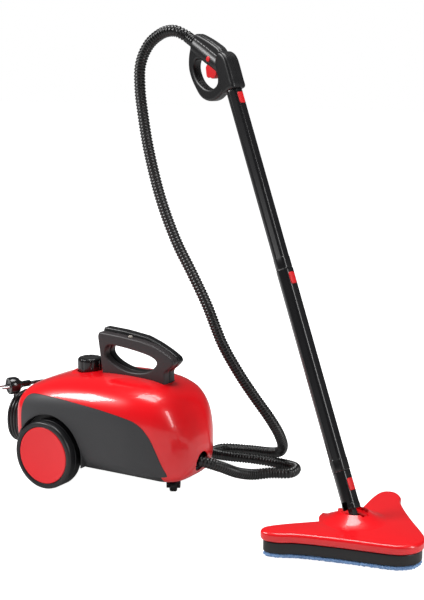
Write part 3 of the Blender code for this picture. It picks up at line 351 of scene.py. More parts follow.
def smooth_line(points, per=6, closed=False):
    """A Catmull-Rom curve through given points."""
    pts = [Vector(p) for p in points]
    count = len(pts)
    line = []
    for i in range(count if closed else count - 1):
        if closed:
            a, b, c, d = (pts[(i + k) % count] for k in (-1, 0, 1, 2))
        else:
            a, b, c, d = (pts[min(max(i + k, 0), count - 1)] for k in (-1, 0, 1, 2))
        for step in range(per):
            t = step / per
            line.append(0.5 * (2 * b + (c - a) * t + (2 * a - 5 * b + 4 * c - d) * t * t
                               + (3 * b - a - 3 * c + d) * t ** 3))
    return line if closed else line + [pts[-1]]


def rounded(outline, per=5):
    """A smooth closed outline through pairs."""
    return smooth_line([(x, y, 0) for x, y in outline], per, True)


def even(points, step):
    """The same line with points at one spacing."""
    line = [points[0].copy()]
    left = step
    for a, b in zip(points, points[1:]):
        span = (b - a).length
        while span >= left and span > 0:
            a = a + (b - a) * (left / span)
            span = (b - a).length
            line.append(a.copy())
            left = step
        left -= span
    if (line[-1] - points[-1]).length < 0.4 * step:
        line.pop()
    return line + [points[-1].copy()]


def length_of(line):
    return sum((b - a).length for a, b in zip(line, line[1:]))


def spun(profile, steps=72, closed=False):
    """A solid turned round Z from (radius, height) pairs."""
    bm = bmesh.new()
    verts = [bm.verts.new((r, 0, z)) for r, z in profile]
    ends = verts[1:] + verts[:1] if closed else verts[1:]
    edges = [bm.edges.new(pair) for pair in zip(verts, ends)]
    bmesh.ops.spin(bm, geom=verts + edges, cent=(0, 0, 0), axis=(0, 0, 1), angle=math.tau,
                   steps=steps, use_merge=True)
    bmesh.ops.remove_doubles(bm, verts=bm.verts, dist=1e-6)
    bmesh.ops.recalc_face_normals(bm, faces=bm.faces)
    return bm


def plate(loops, half, rim=0.0, rim_steps=4, upright=True):
    """A flat plate from closed outlines in metres; later loops are holes."""
    curve = bpy.data.curves.new("outline", "CURVE")
    curve.dimensions = "2D"
    curve.fill_mode = "BOTH"
    curve.extrude = half - rim
    curve.bevel_depth = rim
    curve.bevel_resolution = rim_steps
    curve.offset = -rim
    for loop in loops:
        spline = curve.splines.new("POLY")
        spline.points.add(len(loop) - 1)
        for point, co in zip(spline.points, loop):
            point.co = (co[0], co[1], 0, 1)
        spline.use_cyclic_u = True
    holder = bpy.data.objects.new("outline", curve)
    mesh = bpy.data.meshes.new_from_object(holder)
    bpy.data.objects.remove(holder)
    bm = bmesh.new()
    bm.from_mesh(mesh)
    bpy.data.meshes.remove(mesh)
    bmesh.ops.remove_doubles(bm, verts=bm.verts, dist=2e-5)
    bmesh.ops.dissolve_degenerate(bm, edges=bm.edges, dist=1e-6)
    if upright:
        bmesh.ops.rotate(bm, cent=(0, 0, 0), matrix=Matrix.Rotation(math.pi / 2, 3, "X"),
                         verts=bm.verts)
    return bm


def loft(rings):
    """A capped skin over closed rings of points that all have the same count."""
    bm = bmesh.new()
    rows = [[bm.verts.new(p) for p in ring] for ring in rings]
    count = len(rows[0])
    for a, b in zip(rows, rows[1:]):
        for i in range(count):
            j = (i + 1) % count
            bm.faces.new((a[i], a[j], b[j], b[i]))
    bm.faces.new(rows[0])
    bm.faces.new(rows[-1])
    bmesh.ops.recalc_face_normals(bm, faces=bm.faces)
    return bm


def tube(line, radius, sides=16):
    """A round bar along a line."""
    ahead = (line[1] - line[0]).normalized()
    across = ahead.orthogonal().normalized()
    rings = []
    for i, point in enumerate(line):
        t = (line[min(i + 1, len(line) - 1)] - line[max(i - 1, 0)]).normalized()
        across = (across - t * across.dot(t)).normalized()
        up = t.cross(across)
        rings.append([point + radius * (across * math.cos(a) + up * math.sin(a))
                      for a in (math.tau * k / sides for k in range(sides))])
    return loft(rings)


def merged(*parts):
    """Several bmeshes as one."""
    whole = bmesh.new()
    for bm in parts:
        mesh = bpy.data.meshes.new("part")
        bm.to_mesh(mesh)
        bm.free()
        whole.from_mesh(mesh)
        bpy.data.meshes.remove(mesh)
    return whole


def moved(bm, *steps):
    for step in steps:
        bmesh.ops.transform(bm, matrix=step, verts=bm.verts)
    return bm


def shift(x, y, z):
    return Matrix.Translation((x, y, z))


def turn(degrees, axis):
    return Matrix.Rotation(math.radians(degrees), 4, axis)


def plain(bm, name="tool"):
    mesh = bpy.data.meshes.new(name)
    bm.to_mesh(mesh)
    bm.free()
    return linked(name, mesh)


def applied(ob):
    """The object's modifiers made part of its mesh."""
    graph = bpy.context.evaluated_depsgraph_get()
    graph.update()
    mesh = bpy.data.meshes.new_from_object(ob.evaluated_get(graph))
    ob.modifiers.clear()
    ob.data = mesh
    return ob


def carve(ob, *cuts):
    """A cut is a bmesh to take away, or a pair: another operation and its bmesh."""
    for cut in cuts:
        operation, bm = cut if isinstance(cut, tuple) else ("DIFFERENCE", cut)
        bmesh.ops.triangulate(bm, faces=[f for f in bm.faces if len(f.verts) > 4])
        tool = plain(bm)
        mod = ob.modifiers.new("cut", "BOOLEAN")
        mod.solver = "EXACT"
        mod.operation = operation
        mod.object = tool
        applied(ob)
        bpy.data.objects.remove(tool)
    return ob


def piece(shape, name, finish, replaces=(), body=BODY, place=CANISTER, angle=35):
    """A finished piece in its place; its one material slot holds its finish."""
    ob = shape if isinstance(shape, bpy.types.Object) else plain(shape, name)
    ob.name = ob.data.name = name
    ob.data.transform(place)
    ob.data.shade_smooth()
    ob.data.set_sharp_from_angle(angle=math.radians(angle))
    ob.data.materials.clear()
    ob.data.materials.append(FINISHES[finish])
    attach(ob, body)
    if replaces:
        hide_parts(*([replaces] if isinstance(replaces, str) else replaces))
    return ob


print("helpers ready")

# %% [markdown]
# What repeats is made by Geometry Nodes. A recipe is a tree with named inputs; running it on a mesh
# gives back a plain mesh, with the instances made real and the material set, and leaves no modifier.

# %% Recipes for what repeats


class Recipe(Nodes):
    """A Geometry Nodes tree that is built here and run once."""

    def __init__(self, name, **inputs):
        self.tree = bpy.data.node_groups.new(name, "GeometryNodeTree")
        face = self.tree.interface
        face.new_socket("Geometry", in_out="INPUT", socket_type="NodeSocketGeometry")
        for label, (kind, value) in inputs.items():
            made = face.new_socket(label, in_out="INPUT", socket_type="NodeSocket" + kind)
            if value is not None:
                made.default_value = value
        face.new_socket("Material", in_out="INPUT", socket_type="NodeSocketMaterial")
        face.new_socket("Geometry", in_out="OUTPUT", socket_type="NodeSocketGeometry")
        self.source = self.tree.nodes.new("NodeGroupInput")
        self.sink = self.tree.nodes.new("NodeGroupOutput")

    def input(self, label):
        return Value(self.tree, self.source.outputs[label])

    def end(self, geometry):
        real = self.node("GeometryNodeRealizeInstances", Geometry=geometry)
        done = self.node("GeometryNodeSetMaterial", Geometry=real, Material=self.input("Material"))
        connect(self.tree, self.sink.inputs[0], done)
        return self

    def run(self, ob, finish, **values):
        mod = ob.modifiers.new(self.tree.name, "NODES")
        mod.node_group = self.tree
        values["Material"] = FINISHES[finish]
        for item in self.tree.interface.items_tree:
            if item.in_out == "INPUT" and item.name in values:
                mod[item.identifier] = values[item.name]
        ob.update_tag()
        return applied(ob)


def wire(line, name="path"):
    """A line of points as an edge-only mesh, the start of a recipe that follows a path."""
    mesh = bpy.data.meshes.new(name)
    mesh.from_pydata([tuple(p) for p in line], [(i, i + 1) for i in range(len(line) - 1)], [])
    return linked(name, mesh)


print("recipes can run")

# %% [markdown]
# The steam hose is one convoluted tube with rounded crests and narrow valleys every 6 mm. It could
# be a curve with a bump map, but its outline shows the ribs, so they are real: the recipe walks
# along the route and changes the radius of the ring it sweeps. The route leaves the nose, folds
# twice on the floor and rises behind the wand to the gun. All of it is in view, so its length is
# the length of the route.

# %% The steam hose
HOSE_D, HOSE_PITCH, OUTLET_Z = 0.022, 0.0060, 0.064
REAR_X, NOSE = -0.098, 0.277
HOSE_IN_GUN = Vector((-0.0515, 0, 0.8795))
BARREL_TILT = turn(-39, "Y")


def ribbed_hose():
    recipe = Recipe("ribbed_hose", Pitch=("Float", 0.006), Radius=("Float", 0.011),
                    Valley=("Float", 0.0018), Sides=("Int", 20))
    line = recipe.node("GeometryNodeMeshToCurve", Mesh=recipe.input("Geometry"))
    pitch = recipe.input("Pitch")
    line = recipe.node("GeometryNodeResampleCurve", 0, {"mode": "LENGTH"}, Curve=line,
                       Length=pitch * (1 / 6))
    along = recipe.node("GeometryNodeSplineParameter", "Length")
    phase = along.sum("DIVIDE", along, pitch) * math.tau
    wave = 0.5 - 0.5 * phase.sum("COSINE", phase, 0.0)
    valley = wave.sum("POWER", wave, 1.6) * recipe.input("Valley")
    ring = recipe.node("GeometryNodeCurvePrimitiveCircle", Resolution=recipe.input("Sides"),
                       Radius=1.0)
    skin = recipe.node("GeometryNodeCurveToMesh", Curve=line, Profile_Curve=ring,
                       Scale=recipe.input("Radius") - valley, Fill_Caps=True)
    return recipe.end(skin)


FLOOR_LINE = HOSE_D / 2 + 0.001
HOSE_ROUTE = [
    (NOSE - 0.0060, 0.0003, OUTLET_Z - 0.0003), (0.2840, 0.0120, 0.0580), (0.2970, 0.0400, 0.0440),
    (0.3060, 0.0800, 0.0240), (0.3200, 0.1180, FLOOR_LINE), (0.3450, 0.1440, FLOOR_LINE),
    (0.3760, 0.1640, FLOOR_LINE), (0.3720, 0.1960, FLOOR_LINE), (0.3360, 0.2060, FLOOR_LINE),
    (0.2850, 0.1960, FLOOR_LINE + 0.004), (0.2220, 0.1840, FLOOR_LINE + 0.004),
    (0.1810, 0.1980, FLOOR_LINE), (0.1850, 0.2350, FLOOR_LINE), (0.2360, 0.2520, FLOOR_LINE),
    (0.2980, 0.2480, FLOOR_LINE + 0.006), (0.3310, 0.2180, 0.0420), (0.3440, 0.1800, 0.0800),
    (0.3370, 0.1520, 0.1200), (0.3160, 0.1300, 0.1640), (0.2940, 0.1050, 0.2150),
    (0.2700, 0.0820, 0.2760), (0.2450, 0.0680, 0.3500), (0.2140, 0.0620, 0.4120),
    (0.1790, 0.0610, 0.4720), (0.1460, 0.0600, 0.5500), (0.1200, 0.0600, 0.6400),
    (0.1060, 0.0600, 0.7160), (0.1010, 0.0600, 0.7600), (0.1040, 0.0590, 0.8020),
    (0.1240, 0.0580, 0.8380), (0.1560, 0.0570, 0.8590), (0.1850, 0.0560, 0.8620)]
barrel_axis = BARREL_TILT.to_3x3() @ Vector((0, 0, 1))
hose_end = WAND @ (HOSE_IN_GUN + barrel_axis * 0.0004)
hose_out = WAND.to_3x3() @ barrel_axis
route = [CANISTER @ Vector(p) for p in HOSE_ROUTE] + [hose_end + hose_out * 0.050]
hose_path = [CANISTER @ Vector((NOSE - 0.0295, 0, OUTLET_Z))]
hose_path += even(smooth_line(route, 8), 0.0050)
hose_path += [hose_end + hose_out * 0.026, hose_end]
hose_length = round(length_of(hose_path), 3)
steam_hose = ribbed_hose().run(wire(hose_path), "hose_black", Pitch=HOSE_PITCH)
piece(steam_hose, "ribbed_steam_hose", "hose_black", "steam_hose", place=Matrix(),
      angle=80)
print("hose", hose_length, "m,", len(steam_hose.data.polygons), "faces")

# %% [markdown]
# The mains lead is 4 m of 7 mm cable. It leaves a strain relief in the rear wall, is wound on the
# hook in a neat coil of fifteen turns, and ends in its plug, which rests on top. The turns are
# worked out by a loop: each has its own place in the bundle, and it slides over to the next one in
# the last quarter of its round, on the way down from the top.

# %% The mains lead
LEAD_D = 0.007
GLAND = Vector((REAR_X - 0.0342, 0.067, 0.092))
HANK, HANK_R, HANK_ROUND = Vector((REAR_X - 0.0442, 0, 0.09225)), 0.0398, 0.88
PLUG_AT = Vector((REAR_X - 0.0440, -0.0360, 0.1645))
PLUG_TAIL = Vector((0.46, 0.88, 0.02)).normalized()
LAYERS = ((-0.0093, 3), (-0.0031, 4), (0.0031, 4), (0.0093, 4))
PER_TURN = 24


def turn_places():
    """Where each turn lies in the bundle: sideways and outwards, layer by layer, to and fro."""
    places = []
    for row, (out, count) in enumerate(LAYERS):
        xs = [(i - (count - 1) / 2) * (LEAD_D + 0.0002) for i in range(count)]
        places += [(x, out) for x in (reversed(xs) if row % 2 else xs)]
    return places


def coil_line():
    random.seed(4)
    places = turn_places()
    wander = [(random.uniform(-0.0006, 0.0006), random.uniform(-0.0007, 0.0007)) for _ in places]
    line = []
    for k, (x, out) in enumerate(places):
        nx, nout = places[min(k + 1, len(places) - 1)]
        for i in range(PER_TURN):
            a = math.tau * i / PER_TURN                    # from the left side, downwards
            t = min(1.0, max(0.0, (i / PER_TURN - 0.75) / 0.25))
            t = t * t * (3 - 2 * t)
            sway = math.sin(a * 2) * wander[k][0]
            r = HANK_R + out + (nout - out) * t + sway
            across = x + (nx - x) * t + math.sin(a) * wander[k][1]
            y = r * math.copysign(abs(math.cos(a)) ** HANK_ROUND, math.cos(a))
            z = -r * math.copysign(abs(math.sin(a)) ** HANK_ROUND, math.sin(a))
            line.append(HANK + Vector((across, y, z)))
    return line


def lead_route():
    """From the strain relief to the coil, round it, and over the top to the plug."""
    lead_in = [GLAND + Vector(step) for step in
               ((0, 0, 0), (-0.006, 0, -0.0005), (-0.0150, -0.0006, -0.010),
                (-0.0190, -0.0060, -0.026), (-0.0150, -0.0160, -0.0390))]
    tail = PLUG_AT + PLUG_TAIL * 0.0303
    rise = [Vector((REAR_X - 0.0290, 0.0600, 0.1200)), Vector((REAR_X - 0.0215, 0.0560, 0.1390)),
            Vector((REAR_X - 0.0175, 0.0420, 0.1570)), Vector((REAR_X - 0.0180, 0.0210, 0.1640)),
            tail + PLUG_TAIL * 0.010, tail]
    skip = PER_TURN // 6
    return [CANISTER @ p for p in lead_in + coil_line()[skip:-skip] + rise]


lead_line = even(smooth_line(lead_route(), 3), 0.0045)
lead_length = round(length_of(lead_line), 3)
mains_lead = piece(tube(lead_line, LEAD_D / 2, 12), "mains_lead_cable", "lead_jacket",
                   ("mains_lead", "mains_lead_end", "mains_hank"), place=Matrix(),
                   angle=60)


def mains_plug():
    """A round moulded plug body with a ribbed tail; its two pins are made apart."""
    shell = spun([(0, -0.0300), (0.0046, -0.0300), (0.0050, -0.0270), (0.0062, -0.0120),
                  (0.0090, -0.0080), (0.0142, -0.0040), (0.0168, 0.0010), (0.0174, 0.0060),
                  (0.0174, 0.0145), (0.0168, 0.0165), (0.0158, 0.0172), (0.0120, 0.0172),
                  (0.0115, 0.0160), (0, 0.0160)], 48)
    rings = [spun([(0.0045, z - 0.0008), (0.0062, z - 0.0008), (0.0066, z), (0.0062, z + 0.0008),
                   (0.0045, z + 0.0008)], 32, True) for z in (-0.028, -0.025, -0.022, -0.019, -0.016)]
    return merged(shell, *rings)


def plug_pins():
    pins = []
    for side in (-1, 1):
        pin = spun([(0.0024, 0.0150), (0.0024, 0.0330), (0.0019, 0.0345), (0, 0.0352)], 24)
        bmesh.ops.contextual_create(pin, geom=[e for e in pin.edges if e.is_boundary])
        pins.append(moved(pin, shift(side * 0.0095, 0, 0)))
    return merged(*pins)


PLUG_TURN = (-PLUG_TAIL).to_track_quat("Z", "Y").to_matrix().to_4x4()
PLUG = CANISTER @ shift(*PLUG_AT) @ PLUG_TURN
plug = piece(mains_plug(), "mains_plug_body", "black_gloss", "mains_plug", place=PLUG)
pins = piece(plug_pins(), "mains_plug_pins", "steel", place=PLUG)
print("lead", lead_length, "m in", len(turn_places()), "turns")

# %% [markdown]
# The casing is one red moulding: a rounded tub lying on its floor, with a flat rear and a nose that
# tapers to the hose outlet. A subdivided cage could carry it, but a skin over sections keeps the
# widths and heights as plain numbers, so the sections below are skinned finely and the openings are
# cut afterwards with exact Booleans, the way the tool's inserts leave them.

# %% The casing
SIDES = ((-1, "right"), (1, "left"))
WALL, GAP, WIDE, TALL = 0.0025, 0.0003, 0.232, 0.215
STATIONS = ((0.000, 0.70, 0.32, 0.760), (0.012, 0.80, 0.26, 0.805), (0.050, 0.89, 0.21, 0.850),
            (0.150, 0.955, 0.175, 0.915), (0.255, 0.985, 0.16, 0.958), (0.405, 1.00, 0.15, 0.988),
            (0.560, 1.00, 0.15, 1.000), (0.710, 0.965, 0.145, 0.990), (0.800, 0.895, 0.135, 0.965),
            (0.865, 0.81, 0.125, 0.922), (0.920, 0.69, 0.135, 0.838), (0.960, 0.54, 0.175, 0.712),
            (0.987, 0.37, 0.255, 0.565), (1.000, 0.21, 0.335, 0.450))
ROUND, ROUND_UNDER = 0.62, 0.50          # 1 would make the section an oval, 0 a box
CAP_X, CAP_Z, CASTOR_X, SPLIT_Z, PANEL_Y = 0.017, 0.209, 0.213, 0.0505, 0.118
OUTLET_R, CAP_WELL_R, GLAND_R = 0.0195, 0.0255, 0.0072
CASTOR_BOSS_R, CASTOR_PIN_R = 0.0125, 0.0043
SWITCH_HOLE, SWITCH_AT = (0.05, 0.0302, 0.0222), (REAR_X, -0.052, 0.128)
WHEEL_ARCH, ARCH_Y, ARCH_Z = (0.158, 0.06, 0.09), 0.1222, 0.06


def casing(grow=0.0, ends=0.0, around=144, rows=7):
    """The outer skin; grow moves its walls, ends moves its front and back."""
    length = NOSE - REAR_X
    mid = (NOSE + REAR_X) / 2
    rings = []
    for share, half in zip(smooth_line([(s[0], s[1], 0) for s in STATIONS], rows),
                           smooth_line([(s[2], s[3], 0) for s in STATIONS], rows)):
        wide = 0.5 * WIDE * share.y + grow
        low, high = TALL * half.x - grow, TALL * half.y + grow
        x = mid + (REAR_X + share.x * length - mid) * (1 + 2 * ends / length)
        ring = []
        for i in range(around):
            a = math.tau * (i + 0.5) / around
            c, s = math.cos(a), math.sin(a)
            y = wide * math.copysign(abs(c) ** (ROUND if s > 0 else ROUND_UNDER), c)
            rise = (high - low) / 2 * math.copysign(abs(s) ** ROUND, s)
            ring.append((x, y, (low + high) / 2 + rise))
        rings.append(ring)
    return loft(rings)


def hollow(grow=0.0):
    """The space inside the skin, one wall thickness in."""
    return casing(grow - WALL, -WALL, 96, 4)


def grown(points, amount):
    """A closed outline moved outwards."""
    area = sum(a.x * b.y - b.x * a.y for a, b in zip(points, points[1:] + points[:1]))
    line = []
    for i, p in enumerate(points):
        t = (points[(i + 1) % len(points)] - points[i - 1]).normalized()
        line.append(p + Vector((t.y, -t.x, 0)) * math.copysign(amount, area * amount))
    return line


def soft_corners(outline, radius, steps=3):
    """Each corner of an outline of pairs turned into a small arc."""
    points = [Vector((*pair, 0)) for pair in outline]
    line = []
    for i, p in enumerate(points):
        before, after = points[i - 1], points[(i + 1) % len(points)]
        reach = min(radius, 0.42 * (before - p).length, 0.42 * (after - p).length)
        a, b = p + (before - p).normalized() * reach, p + (after - p).normalized() * reach
        for k in range(steps + 1):
            t = k / steps
            line.append(a * (1 - t) ** 2 + p * 2 * t * (1 - t) + b * t * t)
    return line


def flat_box(size, centre):
    bm = bmesh.new()
    bmesh.ops.create_cube(bm, size=1)
    bmesh.ops.scale(bm, vec=size, verts=bm.verts)
    return moved(bm, shift(*centre))


def bar(radius, low, high, axis="Z", at=(0, 0, 0), steps=64):
    along = {"Z": Matrix(), "X": turn(90, "Y"), "Y": turn(90, "X")}[axis]
    return moved(spun([(0, low), (radius, low), (radius, high), (0, high)], steps), along, shift(*at))


PANEL_LINE = [(-0.073, 0.060), (-0.074, 0.110), (-0.072, 0.150), (-0.062, 0.168), (-0.040, 0.1745),
              (0.010, 0.1755), (0.060, 0.173), (0.120, 0.168), (0.178, 0.158), (0.203, 0.146),
              (0.219, 0.126), (0.230, 0.100), (0.239, 0.072), (0.244, 0.052), (0.236, 0.0475),
              (0.180, 0.048), (0.120, 0.048), (0.060, 0.048), (-0.060, 0.048)]
HANDLE_LINE = [(0.061, 0.199), (0.058, 0.222), (0.053, 0.255), (0.049, 0.284), (0.052, 0.2925),
               (0.100, 0.2900), (0.150, 0.2850), (0.178, 0.2790), (0.204, 0.2680), (0.221, 0.2575),
               (0.2245, 0.2500), (0.214, 0.2380), (0.2030, 0.2300), (0.2035, 0.205),
               (0.2040, 0.184), (0.150, 0.186), (0.070, 0.190)]
HANDLE_HOLE = [(0.066, 0.252), (0.071, 0.2655), (0.085, 0.2695), (0.125, 0.2660), (0.165, 0.2590),
               (0.183, 0.2510), (0.184, 0.2420), (0.171, 0.2300), (0.150, 0.2230),
               (0.120, 0.2225), (0.092, 0.2300), (0.073, 0.2410)]
RISE = (0, 0, 0, 1, 1, 1, 0.8, 0.2, 0, 0, 0, 0, 0, 0, 0, 0, 0)


def panel_prism(side, grow, half=0.050):
    line = grown(rounded(PANEL_LINE), grow)
    return moved(plate([line], half), shift(0, side * PANEL_Y, 0))


def below_split(gap):
    """Everything under the line where the casing meets its floor tray."""
    return flat_box((0.42 - 2 * gap, 0.30, 0.060), (0.024, 0, SPLIT_Z - gap - 0.030))


def handle_loop(tall):
    return soft_corners([(x, z + tall * up) for (x, z), up in zip(HANDLE_LINE, RISE)], 0.006)


boss = spun([(0.0452, 0.1950), (0.0425, 0.1990), (0.0395, 0.2030), (0.0355, 0.2062),
             (0.0325, 0.2078), (0.0310, 0.2082), (0.0200, 0.2082), (0.0200, 0.190),
             (0.0440, 0.190)], 96, True)
casing_red = carve(
    plain(casing()), below_split(0), hollow(), ("UNION", moved(boss, shift(CAP_X, 0, 0))),
    *(panel_prism(side, GAP) for side in (-1, 1)),
    plate([grown(handle_loop(0), GAP)], 0.0193),
    bar(OUTLET_R, 0.200, 0.330, "X", (0, 0, OUTLET_Z)),
    bar(CAP_WELL_R, 0.192, 0.25, at=(CAP_X, 0, 0)),
    flat_box(SWITCH_HOLE, SWITCH_AT),
    bar(GLAND_R, -0.150, -0.060, "X", (0, GLAND.y, GLAND.z)))
casing_red = piece(casing_red, "casing_red", "red_gloss", "top_shell", angle=24)
tray = carve(
    plain(casing()), hollow(), ("INTERSECT", below_split(GAP)),
    ("UNION", bar(CASTOR_BOSS_R, 0.030, 0.050, at=(CASTOR_X, 0, 0))),
    bar(CASTOR_PIN_R, 0.020, 0.046, at=(CASTOR_X, 0, 0)),
    *(flat_box(WHEEL_ARCH, (0, side * ARCH_Y, ARCH_Z)) for side in (-1, 1)),
    *(panel_prism(side, GAP) for side in (-1, 1)))
piece(tray, "floor_tray", "black_satin", "base_tray", angle=24)
print("casing", len(casing_red.data.polygons), "faces")

# %% [markdown]
# A dark panel is let into each side, with a round dish moulded in it for the wheel to turn in. It
# stands about a millimetre proud of the red, so the joint between them reads as a step and a shadow.

# %% The side panels
DISH_Y, DISH_R, RING_R, RING_Y, AXLE_HOLE_R, PROUD = 0.095, 0.0765, 0.0785, 0.1145, 0.0063, 0.0012


def axle_end(side):
    """Turned work laid on the axle, its own axis pointing outwards."""
    return shift(0, 0, WHEEL_R) @ turn(side * -90, "X")


def side_panel(side):
    ring = spun([(0, DISH_Y - WALL), (RING_R, DISH_Y - WALL), (RING_R, RING_Y),
                 (RING_R - WALL, RING_Y), (RING_R - WALL, DISH_Y), (0, DISH_Y)], 120)
    well = bar(DISH_R, DISH_Y - 0.001, 0.150, steps=120)
    hole = bar(AXLE_HOLE_R, DISH_Y - 0.02, DISH_Y + 0.02, steps=48)
    ring, well, hole = (moved(bm, axle_end(side)) for bm in (ring, well, hole))
    return carve(plain(casing(PROUD)), hollow(PROUD), well, ("UNION", ring),
                 ("INTERSECT", panel_prism(side, 0, 0.0475)), hole)


for side, name in SIDES:
    piece(side_panel(side), "wheel_side_" + name, "grey_panel", "side_panel_" + name, angle=24)
print("side panels cut")

# %% [markdown]
# The wheels are hard black tyres turned in one piece with their hubs; a red disc is pressed in, with
# a fine raised ring round its rim. All of it is turning work, so each is a profile spun finely.

# %% The wheels
for side, name in SIDES:
    place, body = CANISTER @ axle_end(side), "wheel_" + name + "_body"
    inner, outer = 0.099, 0.135
    tyre = spun([(0.0052, inner), (0.020, inner), (0.020, inner + 0.006), (0.058, inner + 0.006),
                 (0.060, inner + 0.0006), (0.0610, inner), (0.0640, inner), (0.0655, inner + 0.0010),
                 (0.0660, inner + 0.0030), (0.0660, 0.1165), (0.0654, 0.1172), (0.0654, 0.1180),
                 (0.0660, 0.1187), (0.0660, outer - 0.0050), (0.0655, outer - 0.0020),
                 (0.0640, outer - 0.0004), (0.0625, outer), (0.0575, outer), (0.0562, outer - 0.0008),
                 (0.0558, outer - 0.0055), (0.0052, outer - 0.0055)], 144, True)
    piece(tyre, "tyre_" + name, "black_satin", "wheel_" + name, body, place, angle=40)
    disc = spun([(0, outer - 0.0052), (0.0553, outer - 0.0052), (0.0554, outer - 0.0016),
                 (0.0545, outer - 0.0006), (0.0530, outer - 0.0004), (0.0515, outer - 0.0008),
                 (0, outer - 0.0008)], 144)
    piece(disc, "hub_disc_" + name, "red_disc", "wheel_disc_" + name, body, place, 40)
print("wheels turned")

# %% [markdown]
# The handle is two mouldings that meet on the centre plane: a warm grey one on the near side and a
# taller black one behind it. Both are plates with generously rounded rims, since a hand goes round
# them. The filler cap between handle and rear is a knob with eight shallow finger lobes.

# %% The carry handle and the filler cap
HALF_GRIP = 0.5 * (0.019 - GAP / 2)
LAMP_AT = (0.120, -0.0085, 0)
LOBES, LOBE_DIP, LOBE_FOOT = 8, 0.070, 0.0030
for (side, name), finish, tall in zip(SIDES, ("grey_handle", "black_satin"), (0.0, 0.0065)):
    bow = plain(moved(plate([handle_loop(tall), rounded(HANDLE_HOLE)], HALF_GRIP, 0.0034),
                      shift(0, side * (HALF_GRIP + GAP / 2), 0)))
    if side < 0:
        carve(bow, bar(0.0043, 0.284, 0.300, at=LAMP_AT, steps=32))
    piece(bow, "grip_" + name, finish, "handle_" + name, angle=40)
lamp = spun([(0, 0.28435), (0.0040, 0.28435), (0.0040, 0.2893), (0.0036, 0.2902),
             (0.0026, 0.2908), (0, 0.2911)], 40)
piece(moved(lamp, shift(*LAMP_AT)), "ready_lamp", "lamp_lens", "lamp_lens")

knob = spun([(0, -0.0008), (0.0232, -0.0008), (0.0240, 0.0002), (0.0245, 0.0014), (0.0245, 0.0060),
             (0.0245, 0.0120), (0.0245, 0.0180), (0.0243, 0.0212), (0.0236, 0.0234),
             (0.0222, 0.0250), (0.0200, 0.0259), (0.0150, 0.0262), (0.0120, 0.0256),
             (0.0100, 0.0254), (0, 0.0254)], 144)
for v in knob.verts:
    reach = math.hypot(v.co.x, v.co.y)
    if reach > 0.0190 and v.co.z > LOBE_FOOT:
        dip = max(0.0, math.cos(LOBES * math.atan2(v.co.y, v.co.x))) ** 3
        v.co.xy = v.co.xy * (1 - LOBE_DIP * dip * min(1.0, (v.co.z - LOBE_FOOT) / 0.004))
piece(moved(knob, shift(CAP_X, 0, CAP_Z)), "filler_knob", "black_gloss", "cap_knob",
      "cap_knob_body", angle=40)
print("handle and cap")

# %% [markdown]
# The wand tubes are six-sided with broad rounded corners. A bevelled prism would do, but one formula
# gives the whole section: the six flats and the six corner cuts are blended by a high power, which
# rounds every corner evenly. The tubes swell slightly where they socket together.

# %% The wand
TUBE_R, CORNER = 0.0161, math.radians(23)
UPPER_R, PIN_HOLE_R = TUBE_R - 0.0010, 0.0038
JOINTS = (0.080, 0.441, 0.776)
NECK_BUTTON_Z = JOINTS[0] - 0.025


def hex_section(radius, z, points=120, power=46):
    flats = [(math.radians(60 * k), radius * math.cos(CORNER)) for k in range(6)]
    cuts = [(math.radians(60 * k + 30), radius * math.cos(math.radians(30) - CORNER))
            for k in range(6)]
    ring = []
    for i in range(points):
        a = math.tau * i / points
        total = sum((max(0.0, math.cos(a - at)) / away) ** power for at, away in flats + cuts)
        r = total ** (-1 / power)
        ring.append((r * math.cos(a), r * math.sin(a), z))
    return ring


def wand_tube(radius, low, high, collar):
    """A tube with a rounded lip at each end and a shallow step above its lower socket."""
    heights = [(low, radius - 0.0007), (low + 0.0007, radius - 0.0002),
               (low + 0.0018, radius + 0.0001), (low + collar, radius + 0.0001),
               (low + collar + 0.0008, radius - 0.0004), (high - 0.0030, radius - 0.0004),
               (high - 0.0007, radius - 0.0005), (high, radius - 0.0009)]
    return loft([hex_section(r, z) for z, r in heights])


def button_block(radius, at, grow, proud):
    w, h = 0.0060 + grow, 0.0105 + grow
    outline = soft_corners(((-w, -h), (w, -h), (w, h), (-w, h)), 0.003, 4)
    back, front = radius - 0.0062 - grow, radius * math.cos(CORNER) + proud
    block = plate([outline], (front - back) / 2, 0.0 if proud > 0.005 else 0.0008, 2)
    return moved(block, turn(90, "Z"), shift((front + back) / 2, 0, at))


for name, low, high, radius, at, key in (
        ("lower", JOINTS[0], JOINTS[1], TUBE_R, JOINTS[1] - 0.019, "middle"),
        ("upper", JOINTS[1], JOINTS[2], UPPER_R, JOINTS[2] - 0.018, "upper")):
    shell = carve(plain(wand_tube(radius, low, high, 0.020)),
                  bar(radius - 0.0042, low - 0.01, high + 0.01),
                  button_block(radius, at, GAP, 0.01))
    piece(shell, "wand_tube_" + name, "tube_black", name + "_tube", place=WAND,
          angle=30)
    piece(button_block(radius, at, 0, 0.0010), "latch_button_" + key, "red_satin",
          "release_button_" + key, "button_" + key + "_body", WAND, 40)
neck = carve(plain(wand_tube(TUBE_R, 0.0135, JOINTS[0], 0.010)),
             bar(TUBE_R - 0.0042, 0.034, 0.12), button_block(TUBE_R, NECK_BUTTON_Z, GAP, 0.01),
             flat_box((0.0126, 0.0402, 0.0340), (0, 0, 0.0110)),
             bar(PIN_HOLE_R, -0.0143, 0.0143, "X", (0, 0, 0.0190), 32))
piece(neck, "neck_moulding", "tube_black", "neck_socket", place=WAND, angle=30)
piece(button_block(TUBE_R, NECK_BUTTON_Z, 0, 0.0010), "latch_button_neck", "red_satin",
      "release_button_neck", "button_neck_body", WAND, 40)
print("wand", [round(j, 3) for j in JOINTS])

